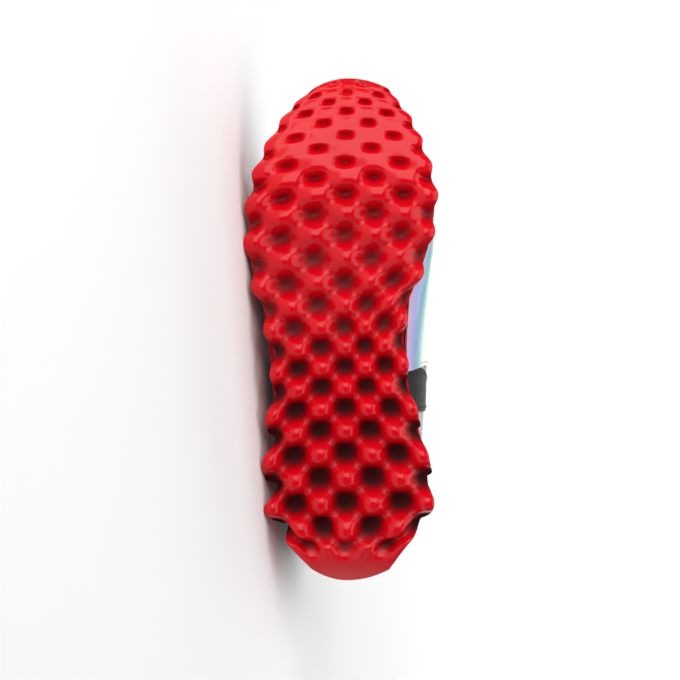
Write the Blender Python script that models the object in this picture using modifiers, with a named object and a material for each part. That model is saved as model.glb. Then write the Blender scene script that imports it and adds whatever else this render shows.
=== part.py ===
"""A right-foot low-top trainer with a studded rubber sole, lying on its lateral side.

The shoe is drawn in its own frame: x runs from heel to toe, y from the lateral side (-) to the medial
side (+), and z up from the ground that the studs would stand on. One empty then lays it down.
"""

import math

import bmesh
import bpy
import numpy as np
from mathutils import Matrix, Vector

# Sizes of the whole shoe, in metres
LENGTH = 0.300
SOLE_WIDTH = 0.115
LAST_WIDTH = 0.105
INSTEP_RISE = 0.082
HEEL_STACK = 0.034
TOE_SPRING = 0.032
STUD_DEPTH = 0.014
LOBE_REACH = 0.0065

# Sole sections, in metres
WEB = 0.003
OUTSOLE_TOP_INSET = 0.0015
MIDSOLE_FOOT_INSET = 0.003
MIDSOLE_HEEL_INSET = 0.004
MIDSOLE_TOE_INSET = 0.005
INSOLE_THICKNESS = 0.004
GAP = 0.0003
SOLE_GAP = 0.0005

# Upper sections, in metres
WALL = 0.002
OVERLAY_THICKNESS = 0.0012
TONGUE_THICKNESS = 0.004
TONGUE_TAB = 0.030
TONGUE_DIP = 0.0015
TONGUE_CROWN = 0.10
LACE_WIDTH = 0.0065
LACE_THICKNESS = 0.0014
LACE_ROWS = 6
LACE_CROWN = 0.12
EYELET_RADIUS = 0.0027
EYELET_WIRE = 0.0008

# Depth of the flats where the shoe lies on the floor, how squarely a side has to face down to lie on it,
# and how far a point may lie outside a face of the hull
REST_FLAT = 0.0004
REST_FACING = 0.8
HULL_TOLERANCE = 1e-5

# Studs: columns on each side of the middle one, the column of the sole's edge, where the side notches and
# the rolled edge begin, how far the edge rolls up, and how far and over how many rows the heel's studs lean
COLUMNS = 3
EDGE_COLUMN = 3.2
NOTCH_COLUMN = 2.0
ROLL_COLUMN = 2.6
EDGE_ROLL = 0.45
HEEL_LEAN = 0.16
HEEL_LEAN_ROWS = 9

# The side wall's middle point, as shares of the way along, in and up from the edge to the web
SIDE_WALL_POINT = (0.45, 0.09, 0.45)

# How finely the pieces are drawn
CELL_SAMPLES = 3
TOP_POINTS = 7
MIDSOLE_STATIONS = 41
UPPER_RING = 52
UPPER_LEVELS = (0, 0.1, 0.22, 0.35, 0.5, 0.65, 0.79, 0.9, 1)
OUTLINE_STEPS = 4
NORMAL_STEP = 1e-3

# Plan of the sole by row of studs, from heel to toe. along and the sweeps are shares of LENGTH, the half
# widths shares of SOLE_WIDTH, and lobe a share of LOBE_REACH. A sweep is how far a row's end lies forward
# of its middle. The deck is the top of the midsole.
PLAN_COLUMNS = "row along lateral medial sweep_lateral sweep_medial lobe deck_lateral deck_medial"
PLAN = (
    (-1.2, 0.000, 0.177, 0.224, 0.026, 0.026, 0.00, 0.183, 0.183),
    (0.0, 0.058, 0.290, 0.325, 0.012, 0.018, 0.15, 0.261, 0.261),
    (1.0, 0.114, 0.365, 0.415, 0.000, 0.012, 0.60, 0.296, 0.296),
    (2.0, 0.160, 0.412, 0.454, -0.012, 0.004, 1.00, 0.322, 0.322),
    (4.0, 0.258, 0.423, 0.428, -0.018, -0.004, 0.95, 0.343, 0.339),
    (6.0, 0.346, 0.407, 0.370, -0.018, 0.000, 0.70, 0.361, 0.343),
    (8.0, 0.426, 0.386, 0.325, -0.013, 0.008, 0.55, 0.378, 0.339),
    (10.0, 0.504, 0.417, 0.318, -0.010, 0.016, 0.60, 0.400, 0.348),
    (12.0, 0.590, 0.480, 0.400, -0.012, 0.014, 0.70, 0.430, 0.370),
    (14.0, 0.682, 0.527, 0.459, -0.019, 0.002, 0.60, 0.461, 0.400),
    (16.0, 0.763, 0.517, 0.475, -0.024, -0.004, 0.48, 0.452, 0.409),
    (18.0, 0.826, 0.480, 0.443, -0.019, -0.005, 0.43, 0.430, 0.400),
    (20.0, 0.880, 0.417, 0.391, -0.016, -0.006, 0.40, 0.383, 0.370),
    (22.0, 0.930, 0.339, 0.334, -0.014, -0.012, 0.30, 0.313, 0.313),
    (24.0, 0.970, 0.262, 0.262, -0.018, -0.016, 0.20, 0.235, 0.243),
    (25.5, 1.000, 0.183, 0.214, -0.023, -0.023, 0.00, 0.165, 0.174),
)

# Side view of the sole. along is a share of LENGTH, tip (the stud tips) of TOE_SPRING, stud (their depth)
# of STUD_DEPTH, deck (the top of the midsole) of HEEL_STACK. sharp is how flat-topped the studs are.
SIDE_COLUMNS = "along tip stud deck sharp"
SIDE = (
    (0.000, 0.62, 0.00, 1.00, 0.9),
    (0.027, 0.33, 0.22, 1.00, 0.9),
    (0.057, 0.14, 0.58, 1.00, 1.0),
    (0.100, 0.02, 0.86, 1.00, 1.0),
    (0.150, 0.00, 1.00, 1.00, 1.0),
    (0.233, 0.00, 1.00, 0.98, 1.0),
    (0.333, 0.00, 0.94, 0.92, 0.9),
    (0.417, 0.00, 0.82, 0.84, 0.8),
    (0.500, 0.00, 0.71, 0.77, 0.6),
    (0.583, 0.00, 0.62, 0.71, 0.3),
    (0.683, 0.02, 0.57, 0.68, 0.1),
    (0.767, 0.09, 0.54, 0.70, 0.1),
    (0.833, 0.24, 0.46, 0.78, 0.0),
    (0.893, 0.45, 0.33, 0.89, 0.0),
    (0.940, 0.67, 0.24, 0.98, 0.0),
    (0.973, 0.84, 0.13, 1.05, 0.0),
    (1.000, 1.00, 0.00, 1.10, 0.0),
)

# The last, station by station round one side from the back of the heel (0) to the toe (1). Each profile
# passes the foot, the widest place, the shoulder and the top edge. x is in % of LENGTH, half widths
# in % of LAST_WIDTH, and rises above the deck in % of INSTEP_RISE.
LAST_COLUMNS = (
    "at foot_x foot_lateral foot_medial wide_x wide_lateral wide_medial wide_rise"
    " shoulder_x shoulder_lateral shoulder_medial shoulder_rise edge_x edge_half edge_rise"
)
LAST = (
    (0.00, 3.0, 0.0, 0.0, 1.2, 0.0, 0.0, 24.4, 2.3, 0.0, 0.0, 61.0, 4.0, 0.0, 87.8),
    (0.06, 4.0, 13.3, 13.3, 2.5, 14.8, 14.8, 24.4, 3.5, 13.3, 13.3, 60.0, 5.0, 11.4, 86.6),
    (0.12, 7.3, 23.8, 23.8, 6.3, 26.7, 26.7, 24.4, 6.8, 23.8, 23.8, 57.3, 7.3, 20.0, 80.5),
    (0.20, 14.0, 31.4, 31.4, 13.7, 36.2, 36.2, 24.4, 13.7, 32.9, 32.9, 50.0, 13.3, 27.1, 68.3),
    (0.30, 25.0, 35.2, 34.3, 25.0, 40.0, 41.4, 26.8, 24.0, 36.7, 37.6, 48.8, 22.3, 30.5, 62.8),
    (0.42, 38.3, 38.1, 35.2, 37.7, 43.3, 43.3, 29.3, 35.0, 39.0, 40.0, 57.3, 31.3, 28.1, 78.0),
    (0.50, 47.3, 41.0, 35.2, 46.7, 44.8, 43.8, 29.3, 42.0, 35.2, 36.2, 68.3, 37.3, 16.7, 100.0),
    (0.56, 54.3, 43.8, 36.7, 54.0, 47.1, 45.2, 25.6, 50.3, 35.7, 35.7, 62.2, 46.3, 14.3, 92.1),
    (0.62, 61.7, 46.7, 39.0, 61.3, 50.0, 47.1, 22.0, 58.7, 36.2, 34.8, 55.5, 55.7, 11.9, 79.9),
    (0.66, 66.3, 48.1, 41.4, 66.0, 51.4, 48.6, 19.5, 64.7, 36.2, 34.3, 50.6, 62.6, 10.0, 70.4),
    (0.70, 70.7, 48.6, 42.9, 70.7, 51.9, 49.0, 18.3, 70.3, 34.8, 33.3, 46.3, 67.6, 8.4, 62.8),
    (0.78, 78.7, 44.8, 41.4, 79.0, 48.1, 45.2, 16.5, 77.0, 30.0, 29.0, 42.0, 70.7, 6.8, 59.8),
    (0.85, 85.3, 37.6, 36.7, 85.8, 40.5, 39.5, 15.9, 81.3, 25.6, 25.4, 42.2, 71.3, 4.9, 59.4),
    (0.91, 90.7, 27.6, 28.6, 91.5, 30.0, 31.0, 15.2, 84.7, 19.0, 19.2, 41.8, 71.5, 2.9, 59.2),
    (0.96, 94.0, 15.2, 17.1, 95.2, 16.7, 18.6, 15.2, 86.5, 10.4, 10.7, 41.6, 71.6, 1.4, 59.1),
    (1.00, 95.5, 0.0, 0.0, 96.8, 0.0, 0.0, 15.2, 87.3, 0.0, 0.0, 41.5, 71.7, 0.0, 59.1),
)

# Side outlines of the overlays. x is in % of LENGTH and z in % of INSTEP_RISE above the deck at the heel.
HEEL_COUNTER = ((-4, -20), (26, -20), (24, 14), (17, 34), (9, 52), (3, 60), (-4, 62))
TOE_CAP = ((81, -40), (82.5, 0), (86, 15), (91, 24), (96, 28), (104, 29), (104, -40))
EYESTAY = (
    (33, 96), (35, 79), (41, 69), (48, 60), (56, 49), (65, 37),
    (72, 33), (76, 38), (77, 60), (60, 120), (36, 130),
)
SIDE_PANEL = ((43, -40), (42.5, 20), (40.5, 52), (42.5, 62), (54, 48), (63, 34), (67, 18), (69, -40))

# Where the overlays begin above the deck, as a share of the upper's profile
OVERLAY_FOOT = 0.03

# How far up the profile the lace holes lie, the stations of the first and last, and where a bar ends
EYELET_LEVEL = 0.92
EYELET_FIRST = 0.515
EYELET_LAST = 0.68
LACE_LEVELS = (0.90, 0.96, 1.0)

# The tongue: its front end, where its front begins to dip below the throat's edges and over how long, and
# the rows of its free tab, each a share of the tab's length, a share of its width and a rise
TONGUE_FRONT = 0.8
TONGUE_DIP_FROM = 0.66
TONGUE_DIP_OVER = 0.1
TAB_ROWS = ((0.25, 0.86, 0.015), (0.6, 0.8, 0.06), (0.88, 0.7, 0.12), (1.0, 0.5, 0.144))

# Colour, roughness and metallic value of each material
MATERIALS = {
    "red_rubber": ((0.72, 0.005, 0.018), 0.18, 0.0),
    "white_mesh": ((0.62, 0.63, 0.66), 0.7, 0.0),
    "iridescent_film": ((0.66, 0.68, 0.76), 0.22, 0.6),
    "black_leather": ((0.02, 0.02, 0.022), 0.5, 0.0),
    "grey_lining": ((0.25, 0.26, 0.28), 0.9, 0.0),
    "lace_cord": ((0.75, 0.75, 0.77), 0.8, 0.0),
    "silver_metal": ((0.75, 0.76, 0.78), 0.3, 1.0),
}


def smooth_through(knots, values, at, periodic_length=None):
    """A cubic through the values: monotone between rows, or closed with the given period."""
    knots = np.asarray(knots, float)
    values = np.asarray(values, float)
    if periodic_length:
        at = np.mod(at, periodic_length)
        knots = np.concatenate([knots[-2:] - periodic_length, knots, knots[:3] + periodic_length])
        values = np.concatenate([values[-2:], values, values[:3]])
    steps = np.diff(knots)
    slopes = np.diff(values) / steps
    tangents = np.empty_like(values)
    tangents[0], tangents[-1] = slopes[0], slopes[-1]
    tangents[1:-1] = (slopes[:-1] * steps[1:] + slopes[1:] * steps[:-1]) / (steps[1:] + steps[:-1])
    if not periodic_length:
        steepest = 3 * np.minimum(np.abs(slopes[:-1]), np.abs(slopes[1:]))
        turning = slopes[:-1] * slopes[1:] <= 0
        tangents[1:-1] = np.where(turning, 0, np.clip(tangents[1:-1], -steepest, steepest))
    cell = np.clip(np.searchsorted(knots, at, side="right") - 1, 0, len(steps) - 1)
    t = (at - knots[cell]) / steps[cell]
    return (
        values[cell] * (1 + 2 * t) * (1 - t) ** 2
        + values[cell + 1] * t**2 * (3 - 2 * t)
        + tangents[cell] * steps[cell] * t * (1 - t) ** 2
        - tangents[cell + 1] * steps[cell] * t**2 * (1 - t)
    )


def column(columns, rows, name):
    index = columns.split().index(name)
    return [row[index] for row in rows]


def plan(name, row):
    """A column of the sole's plan at these rows of studs."""
    return smooth_through(column(PLAN_COLUMNS, PLAN, "row"), column(PLAN_COLUMNS, PLAN, name), row)


def side(name, x):
    """A column of the sole's side view at these places along the shoe."""
    return smooth_through(column(SIDE_COLUMNS, SIDE, "along"), column(SIDE_COLUMNS, SIDE, name), x / LENGTH)


def tip_height(x):
    return TOE_SPRING * side("tip", x)


def stud_depth(x):
    return STUD_DEPTH * side("stud", x)


def outsole_top(x):
    return tip_height(x) + stud_depth(x) + WEB


def deck(x):
    return HEEL_STACK * side("deck", x)


def by_side(across, lateral, medial):
    return np.where(across < 0, lateral, medial)


def row_x(row, across, first, last):
    """Where a point lies along the shoe: a row bows by its sweep from the middle to its ends."""
    sweep = by_side(across, plan("sweep_lateral", row), plan("sweep_medial", row))
    return first + (last - first) * plan("along", row) + LENGTH * sweep * across**2


def lobe(row):
    """1 at a side stud and 0 at a notch. The heel's side studs lean back, with their steep flank behind."""
    lean = HEEL_LEAN * np.clip(1 - row / HEEL_LEAN_ROWS, 0, 1)
    return 0.5 + 0.5 * np.cos(math.pi * (row + lean * np.sin(math.pi * row)))


def outsole_point(row, across):
    """A point of the studded face, with across from -1 at the lateral edge to 1 at the medial one."""
    stud_column = across * EDGE_COLUMN
    x = row_x(row, across, 0, LENGTH)
    half = SOLE_WIDTH * by_side(across, plan("lateral", row), plan("medial", row))
    edge = np.clip((abs(stud_column) - NOTCH_COLUMN) / (EDGE_COLUMN - NOTCH_COLUMN), 0, 1)
    notch = LOBE_REACH * plan("lobe", row) * (1 - lobe(row)) * edge**2
    y = across * half - np.sign(across) * notch
    wave = -np.cos(math.pi * stud_column) * np.cos(math.pi * row)
    sharp = side("sharp", x)
    wave = (1 - sharp) * wave + sharp * wave * (1.5 - 0.5 * wave**2)
    roll = EDGE_ROLL * np.clip((abs(stud_column) - ROLL_COLUMN) / (EDGE_COLUMN - ROLL_COLUMN), 0, 1) ** 2
    z = tip_height(x) + stud_depth(x) * (1 - (0.5 + 0.5 * wave) * (1 - roll))
    return np.stack([x, y, z], -1)


def notch_half(row, across):
    """Half width of the sole along the bottoms of the side notches."""
    half = by_side(across, plan("lateral", row), plan("medial", row))
    return SOLE_WIDTH * half - LOBE_REACH * plan("lobe", row)


def mesh_object(name, points, faces, material, collection="trainer"):
    """A named object with its faces turned outwards, in its collection and under the shoe's empty."""
    mesh = bpy.data.meshes.new(name)
    mesh.from_pydata([tuple(point) for point in points], [], faces)
    mesh.update()
    obj = bpy.data.objects.new(name, mesh)
    bpy.data.collections[collection].objects.link(obj)
    obj.parent = bpy.data.objects["shoe"]
    if material:
        mesh.materials.append(bpy.data.materials[material])
    return obj


def grid_faces(rows, columns, wrap=False):
    """Triangles of a grid listed row by row. wrap closes it from the last row to the first."""
    faces = []
    for i in range(rows if wrap else rows - 1):
        low = i * columns
        high = (i + 1) % rows * columns
        for j in range(columns - 1):
            faces.append((low + j, high + j, high + j + 1))
            faces.append((low + j, high + j + 1, low + j + 1))
    return faces


def end_cap(lower, upper, points):
    """Triangles between two chains that run from the lateral to the medial side."""
    faces = []
    i = j = 0
    while i < len(lower) - 1 or j < len(upper) - 1:
        next_lower = points[lower[i + 1]][1] if i < len(lower) - 1 else math.inf
        next_upper = points[upper[j + 1]][1] if j < len(upper) - 1 else math.inf
        if next_lower <= next_upper:
            faces.append((lower[i], lower[i + 1], upper[j]))
            i += 1
        else:
            faces.append((lower[i], upper[j + 1], upper[j]))
            j += 1
    return faces


def layer(name, bottoms, tops, material):
    """A slab from sections that run from heel to toe, each a bottom chain and a top chain across the shoe."""
    count = len(bottoms[0])
    size = count + len(tops[0])
    points = [point for bottom, top in zip(bottoms, tops) for point in (*bottom, *top[::-1])]
    faces = []
    for i in range(len(bottoms) - 1):
        for j in range(size):
            a, b = i * size + j, i * size + (j + 1) % size
            faces.append((a, a + size, b + size, b))
    for start, turned in ((0, False), ((len(bottoms) - 1) * size, True)):
        lower = list(range(start, start + count))
        upper = list(range(start + size - 1, start + count - 1, -1))
        cap = end_cap(lower, upper, points)
        faces += [face[::-1] for face in cap] if turned else cap
    obj = mesh_object(name, points, faces, material)
    shape = bmesh.new()
    shape.from_mesh(obj.data)
    bmesh.ops.recalc_face_normals(shape, faces=shape.faces)
    shape.to_mesh(obj.data)
    shape.free()
    return obj


def make_outsole():
    """The studded rubber: bottoms are stud sections with a side wall point each side, tops are the web."""
    first, last = PLAN[0][0], PLAN[-1][0]
    steps = round((last - first) * CELL_SAMPLES)
    middle = np.arange(-COLUMNS * CELL_SAMPLES, COLUMNS * CELL_SAMPLES + 1) / CELL_SAMPLES
    across = np.concatenate([[-EDGE_COLUMN], middle, [EDGE_COLUMN]]) / EDGE_COLUMN
    flat = np.linspace(-1, 1, TOP_POINTS)
    bottoms, tops = [], []
    for row in np.linspace(first, last, steps + 1):
        stud = outsole_point(row, across)
        top_x = row_x(row, flat, 0, LENGTH)
        top = np.stack([top_x, flat * (notch_half(row, flat) - OUTSOLE_TOP_INSET), outsole_top(top_x)], -1)
        walls = [stud[end] + np.array(SIDE_WALL_POINT) * (top[end] - stud[end]) for end in (0, -1)]
        bottoms.append([walls[0], *stud, walls[1]])
        tops.append(list(top))
    return layer("outsole", bottoms, tops, "red_rubber")


def make_midsole():
    """The smooth carrier between the outsole's web and the deck that the upper stands on."""
    flat = np.linspace(-1, 1, TOP_POINTS)
    bottoms, tops = [], []
    for row in np.linspace(PLAN[0][0], PLAN[-1][0], MIDSOLE_STATIONS):
        x = row_x(row, flat, MIDSOLE_HEEL_INSET, LENGTH - MIDSOLE_TOE_INSET)
        foot = flat * (notch_half(row, flat) - MIDSOLE_FOOT_INSET)
        rim = flat * SOLE_WIDTH * by_side(flat, plan("deck_lateral", row), plan("deck_medial", row))
        bottoms.append(list(np.stack([x, foot, outsole_top(x) + SOLE_GAP], -1)))
        tops.append(list(np.stack([x, rim, deck(x)], -1)))
    return layer("midsole", bottoms, tops, "red_rubber")


def last_column(name, station):
    """A column of the last at stations from 0 to 2: up the lateral side to the toe at 1, and back."""
    values = column(LAST_COLUMNS, LAST, "at")
    knots = values + [2 - value for value in values[-2:0:-1]]
    if name + "_lateral" in LAST_COLUMNS:
        lateral = column(LAST_COLUMNS, LAST, name + "_lateral")
        medial = column(LAST_COLUMNS, LAST, name + "_medial")
        numbers = [-value for value in lateral] + medial[-2:0:-1]
    elif name == "edge":
        half = column(LAST_COLUMNS, LAST, "edge_half")
        numbers = [-value for value in half] + half[-2:0:-1]
    else:
        numbers = column(LAST_COLUMNS, LAST, name)
        numbers = numbers + numbers[-2:0:-1]
    return smooth_through(knots, numbers, station, periodic_length=2) / 100


def last_point(station, level):
    """A point of the upper's outer face, with level from 0 at the deck to 1 at the topline."""
    station, level = np.broadcast_arrays(np.asarray(station, float), np.asarray(level, float))
    chain = []
    for place in ("foot", "wide", "shoulder", "edge"):
        x = LENGTH * last_column(place + "_x", station)
        y = LAST_WIDTH * last_column(place, station)
        rise = 0 if place == "foot" else INSTEP_RISE * last_column(place + "_rise", station)
        chain.append(np.stack([x, y, deck(x) + GAP + rise], -1))
    spans = [np.linalg.norm(b - a, axis=-1) for a, b in zip(chain, chain[1:])]
    total = sum(spans)
    knots = [0 * total, spans[0] / total, (spans[0] + spans[1]) / total, total / total]
    result = 0
    for i, point in enumerate(chain):
        weight = 1
        for j, knot in enumerate(knots):
            if j != i:
                weight = weight * (level - knot) / (knots[i] - knot)
        result = result + weight[..., None] * point
    return result


def last_normal(station, level):
    """The upper's outward direction at these places."""
    along = last_point(station + NORMAL_STEP, level) - last_point(station - NORMAL_STEP, level)
    above = last_point(station, np.minimum(level + NORMAL_STEP, 1))
    up = above - last_point(station, np.maximum(level - NORMAL_STEP, 0))
    normal = np.cross(along, up)
    return normal / np.linalg.norm(normal, axis=-1, keepdims=True)


def offset_point(station, level, distance):
    return last_point(station, level) + distance * last_normal(station, level)


def shell(name, points, thickness, outwards, material, wrap=False, collection="trainer"):
    """An open grid of points, thickened to one side of its faces."""
    rows, columns = points.shape[:2]
    obj = mesh_object(name, points.reshape(-1, 3), grid_faces(rows, columns, wrap), material, collection)
    solidify = obj.modifiers.new("wall", "SOLIDIFY")
    solidify.thickness = thickness
    solidify.offset = 1 if outwards else -1
    return obj


def last_grid(distance, foot=0):
    stations = np.arange(UPPER_RING) * 2 / UPPER_RING
    levels = np.maximum(UPPER_LEVELS, foot)
    return offset_point(stations[:, None], levels[None, :], distance)


def make_upper():
    return shell("upper", last_grid(0), WALL, False, "white_mesh", wrap=True)


def make_overlay(name, outline, material, sides=(-1, 1)):
    """A sheet over the upper, cut from the upper's own form by a prism through a side outline."""
    sheet = shell(name, last_grid(GAP, OVERLAY_FOOT), OVERLAY_THICKNESS, True, material, wrap=True)
    points = np.array(outline, float)
    count = len(points)
    curve = np.arange(count * OUTLINE_STEPS) / OUTLINE_STEPS
    x = LENGTH / 100 * smooth_through(np.arange(count), points[:, 0], curve, count)
    z = HEEL_STACK + INSTEP_RISE / 100 * smooth_through(np.arange(count), points[:, 1], curve, count)
    low = -LAST_WIDTH if -1 in sides else 0
    high = LAST_WIDTH if 1 in sides else 0
    corners = [(x[i], y, z[i]) for y in (low, high) for i in range(len(x))]
    size = len(x)
    faces = [tuple(range(size)), tuple(range(2 * size - 1, size - 1, -1))]
    faces += [(i, i + size, (i + 1) % size + size, (i + 1) % size) for i in range(size)]
    cutter = mesh_object(name + "_cutter", corners, faces, None, "cutters")
    shape = bmesh.new()
    shape.from_mesh(cutter.data)
    bmesh.ops.recalc_face_normals(shape, faces=shape.faces)
    shape.to_mesh(cutter.data)
    shape.free()
    cut = sheet.modifiers.new("outline", "BOOLEAN")
    cut.operation = "INTERSECT"
    cut.object = cutter
    return sheet


def make_insole():
    """A sock liner on the deck, inside the upper's wall. Its sections join stations with the same x."""
    inset = WALL + 2 * GAP
    bottoms, tops = [], []
    for i in range(1, UPPER_RING // 2):
        station = 2 * i / UPPER_RING
        ends = [offset_point(p, 0.0, -inset) for p in (station, 2 - station)]
        x = 0.5 * (ends[0][0] + ends[1][0])
        chain = [np.array([x, y, deck(x) + GAP]) for y in (ends[0][1], 0, ends[1][1])]
        bottoms.append(chain)
        tops.append([point + np.array([0, 0, INSOLE_THICKNESS]) for point in chain])
    return layer("insole", bottoms, tops, "grey_lining")


def throat_chain(station, distance, levels, middle, crown):
    """Points across the throat: up the lateral wing, over the opening in an arch, down the medial wing."""
    lateral = offset_point(station, levels, distance)
    medial = offset_point(2 - station, levels, distance)[::-1]
    share = (np.arange(middle) + 1)[:, None] / (middle + 1)
    bridge = (1 - share) * lateral[-1] + share * medial[0]
    width = np.linalg.norm(medial[0] - lateral[-1])
    bridge[:, 2] += 4 * (share * (1 - share))[:, 0] * crown * width
    return np.concatenate([lateral, bridge, medial])


def make_tongue():
    """A padded blade under the throat's edges, with a free tab that stands above the top eyelets."""
    levels = np.array(UPPER_LEVELS[-3:])
    stations = [2 * i / UPPER_RING for i in range(UPPER_RING // 4, round(TONGUE_FRONT * UPPER_RING / 2))]
    rows = []
    for station in stations:
        dip = TONGUE_DIP * min(max((station - TONGUE_DIP_FROM) / TONGUE_DIP_OVER, 0), 1)
        rows.append(throat_chain(station, -(WALL + GAP + dip), levels, 3, TONGUE_CROWN))
    middle = [row.mean(axis=0) for row in rows[:2]]
    direction = (middle[0] - middle[1]) / np.linalg.norm(middle[0] - middle[1])
    for share, narrowing, rise in TAB_ROWS:
        move = TONGUE_TAB * (share * direction + np.array([0, 0, rise]))
        tab = rows[-len(stations)] + move
        tab[:, 1] = middle[0][1] + narrowing * (tab[:, 1] - middle[0][1])
        rows.insert(0, tab)
    return shell("tongue", np.array(rows), TONGUE_THICKNESS, False, "white_mesh")


def eyelet_stations():
    return np.linspace(EYELET_LAST, EYELET_FIRST, LACE_ROWS)


def make_eyelets():
    """A metal ring on the eyestay at each lace hole."""
    seat = 2 * GAP + OVERLAY_THICKNESS + EYELET_WIRE
    shared = None
    for number, station in enumerate(eyelet_stations(), 1):
        for side_name, place in (("lateral", station), ("medial", 2 - station)):
            centre = Vector(offset_point(place, EYELET_LEVEL, seat))
            axis = Vector(last_normal(np.float64(place), np.float64(EYELET_LEVEL)))
            if shared is None:
                bpy.ops.mesh.primitive_torus_add(
                    major_radius=EYELET_RADIUS, minor_radius=EYELET_WIRE, major_segments=8, minor_segments=4
                )
                ring = bpy.context.object
                shared = ring.data
                shared.materials.append(bpy.data.materials["silver_metal"])
                ring.users_collection[0].objects.unlink(ring)
            else:
                ring = bpy.data.objects.new("eyelet", shared)
            ring.name = f"eyelet_{side_name}_{number}"
            bpy.data.collections["trainer"].objects.link(ring)
            ring.parent = bpy.data.objects["shoe"]
            ring.matrix_local = Matrix.Translation(centre) @ axis.to_track_quat("Z", "Y").to_matrix().to_4x4()


def make_lace_bars():
    """A flat bar of lace from each lateral eyelet over the tongue to its medial one."""
    height = 3 * GAP + OVERLAY_THICKNESS + 2 * EYELET_WIRE
    for number, station in enumerate(eyelet_stations(), 1):
        chain = throat_chain(station, height, np.array(LACE_LEVELS), 3, LACE_CROWN)
        along = last_point(station + NORMAL_STEP, 1.0) - last_point(station - NORMAL_STEP, 1.0)
        along[1] = 0
        along *= 0.5 * LACE_WIDTH / np.linalg.norm(along)
        strip = np.array([chain - along, chain + along])
        shell(f"lace_bar_{number}", strip, LACE_THICKNESS, True, "lace_cord")


def evaluated_points(obj):
    """The object's points as its modifiers leave them, in the shoe's frame, and its triangles."""
    evaluated = obj.evaluated_get(bpy.context.evaluated_depsgraph_get())
    mesh = evaluated.to_mesh()
    mesh.calc_loop_triangles()
    points = np.array([obj.matrix_world @ vertex.co for vertex in mesh.vertices])
    faces = np.array([triangle.vertices for triangle in mesh.loop_triangles])
    evaluated.to_mesh_clear()
    return points, faces


def volume_centre(solids):
    """The centre of mass of the solids, all of one density."""
    volume, moment = 0.0, np.zeros(3)
    for points, faces in solids:
        a, b, c = (points[faces[:, i]] for i in range(3))
        parts = np.einsum("ij,ij->i", a, np.cross(b, c)) / 6
        volume += parts.sum()
        moment += (parts[:, None] * (a + b + c) / 4).sum(axis=0)
    return Vector(moment / volume)


def resting_plane(points, centre):
    """Outward normal and a point of the lateral hull face that lies nearest to the centre of mass."""
    hull = bmesh.new()
    for point in points:
        hull.verts.new(point)
    bmesh.ops.convex_hull(hull, input=hull.verts)
    hull.normal_update()
    nearest, place, least = None, None, math.inf
    for face in hull.faces:
        reach = face.normal.dot(face.verts[0].co - centre)
        normal = face.normal if reach > 0 else -face.normal
        if normal.y > -REST_FACING or abs(reach) > least:
            continue
        beyond = (points - np.array(face.verts[0].co)) @ np.array(normal)
        if beyond.max() < HULL_TOLERANCE:
            nearest, place, least = normal.copy(), face.verts[0].co.copy(), abs(reach)
    hull.free()
    return nearest, place


def lie_down(pieces):
    """Turn the shoe on to its lateral side, flatten the contacts and put the origin under its middle."""
    bpy.context.view_layer.update()
    solids = {obj: evaluated_points(obj) for obj in pieces}
    centre = volume_centre(solids.values())
    normal, place = resting_plane(np.concatenate([points for points, _ in solids.values()]), centre)
    up = -normal
    place = place + REST_FLAT * up
    along = Vector((-1, 0, 0))
    along = (along - along.dot(up) * up).normalized()
    turn = Matrix((along, up.cross(along), up)).to_4x4()
    bpy.ops.mesh.primitive_cube_add(size=4 * LENGTH)
    floor = bpy.context.object
    floor.name = "floor_cutter"
    floor.users_collection[0].objects.unlink(floor)
    bpy.data.collections["cutters"].objects.link(floor)
    floor.parent = bpy.data.objects["shoe"]
    floor.matrix_local = Matrix.Translation(place - 2 * LENGTH * up) @ turn.inverted()
    for obj, (points, _) in solids.items():
        if ((points - np.array(place)) @ np.array(up)).min() < -1e-6:
            cut = obj.modifiers.new("floor", "BOOLEAN")
            cut.operation = "DIFFERENCE"
            cut.object = floor
    turned = np.concatenate([points for points, _ in solids.values()]) @ np.array(turn.to_3x3()).T
    low, high = turned.min(axis=0), turned.max(axis=0)
    base = (turn @ place).z
    move = Vector((-(low[0] + high[0]) / 2, -(low[1] + high[1]) / 2, -base))
    bpy.data.objects["shoe"].matrix_world = Matrix.Translation(move) @ turn


def make_materials():
    for name, (colour, roughness, metallic) in MATERIALS.items():
        material = bpy.data.materials.new(name)
        material.use_nodes = True
        shader = material.node_tree.nodes["Principled BSDF"]
        shader.inputs["Base Color"].default_value = (*colour, 1)
        shader.inputs["Roughness"].default_value = roughness
        shader.inputs["Metallic"].default_value = metallic


def main():
    for obj in list(bpy.data.objects):
        bpy.data.objects.remove(obj)
    for name in ("trainer", "cutters"):
        collection = bpy.data.collections.new(name)
        bpy.context.scene.collection.children.link(collection)
    bpy.context.scene.collection.objects.link(bpy.data.objects.new("shoe", None))
    make_materials()
    make_outsole()
    make_midsole()
    make_insole()
    make_upper()
    make_overlay("heel_counter", HEEL_COUNTER, "black_leather")
    make_overlay("toe_cap", TOE_CAP, "white_mesh")
    make_overlay("eyestay", EYESTAY, "white_mesh")
    make_overlay("side_panel_lateral", SIDE_PANEL, "iridescent_film", sides=(-1,))
    make_overlay("side_panel_medial", SIDE_PANEL, "iridescent_film", sides=(1,))
    make_tongue()
    make_eyelets()
    make_lace_bars()
    lie_down(list(bpy.data.collections["trainer"].objects))
    for cutter in bpy.data.collections["cutters"].objects:
        cutter.hide_render = True
        cutter.display_type = "WIRE"


main()
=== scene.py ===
"""A right-foot low trainer with a studded red rubber sole, lying on its lateral side.

Each shape is drawn in the shoe's own frame, with x from heel to toe, y from the lateral side (-) to the
medial side (+) and z up from the ground that the studs would stand on, and is then laid on its side.
"""

from __future__ import annotations

import logging
import math
from dataclasses import dataclass, field
from enum import Enum
from typing import Any, Iterable, Sequence, Union

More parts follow.
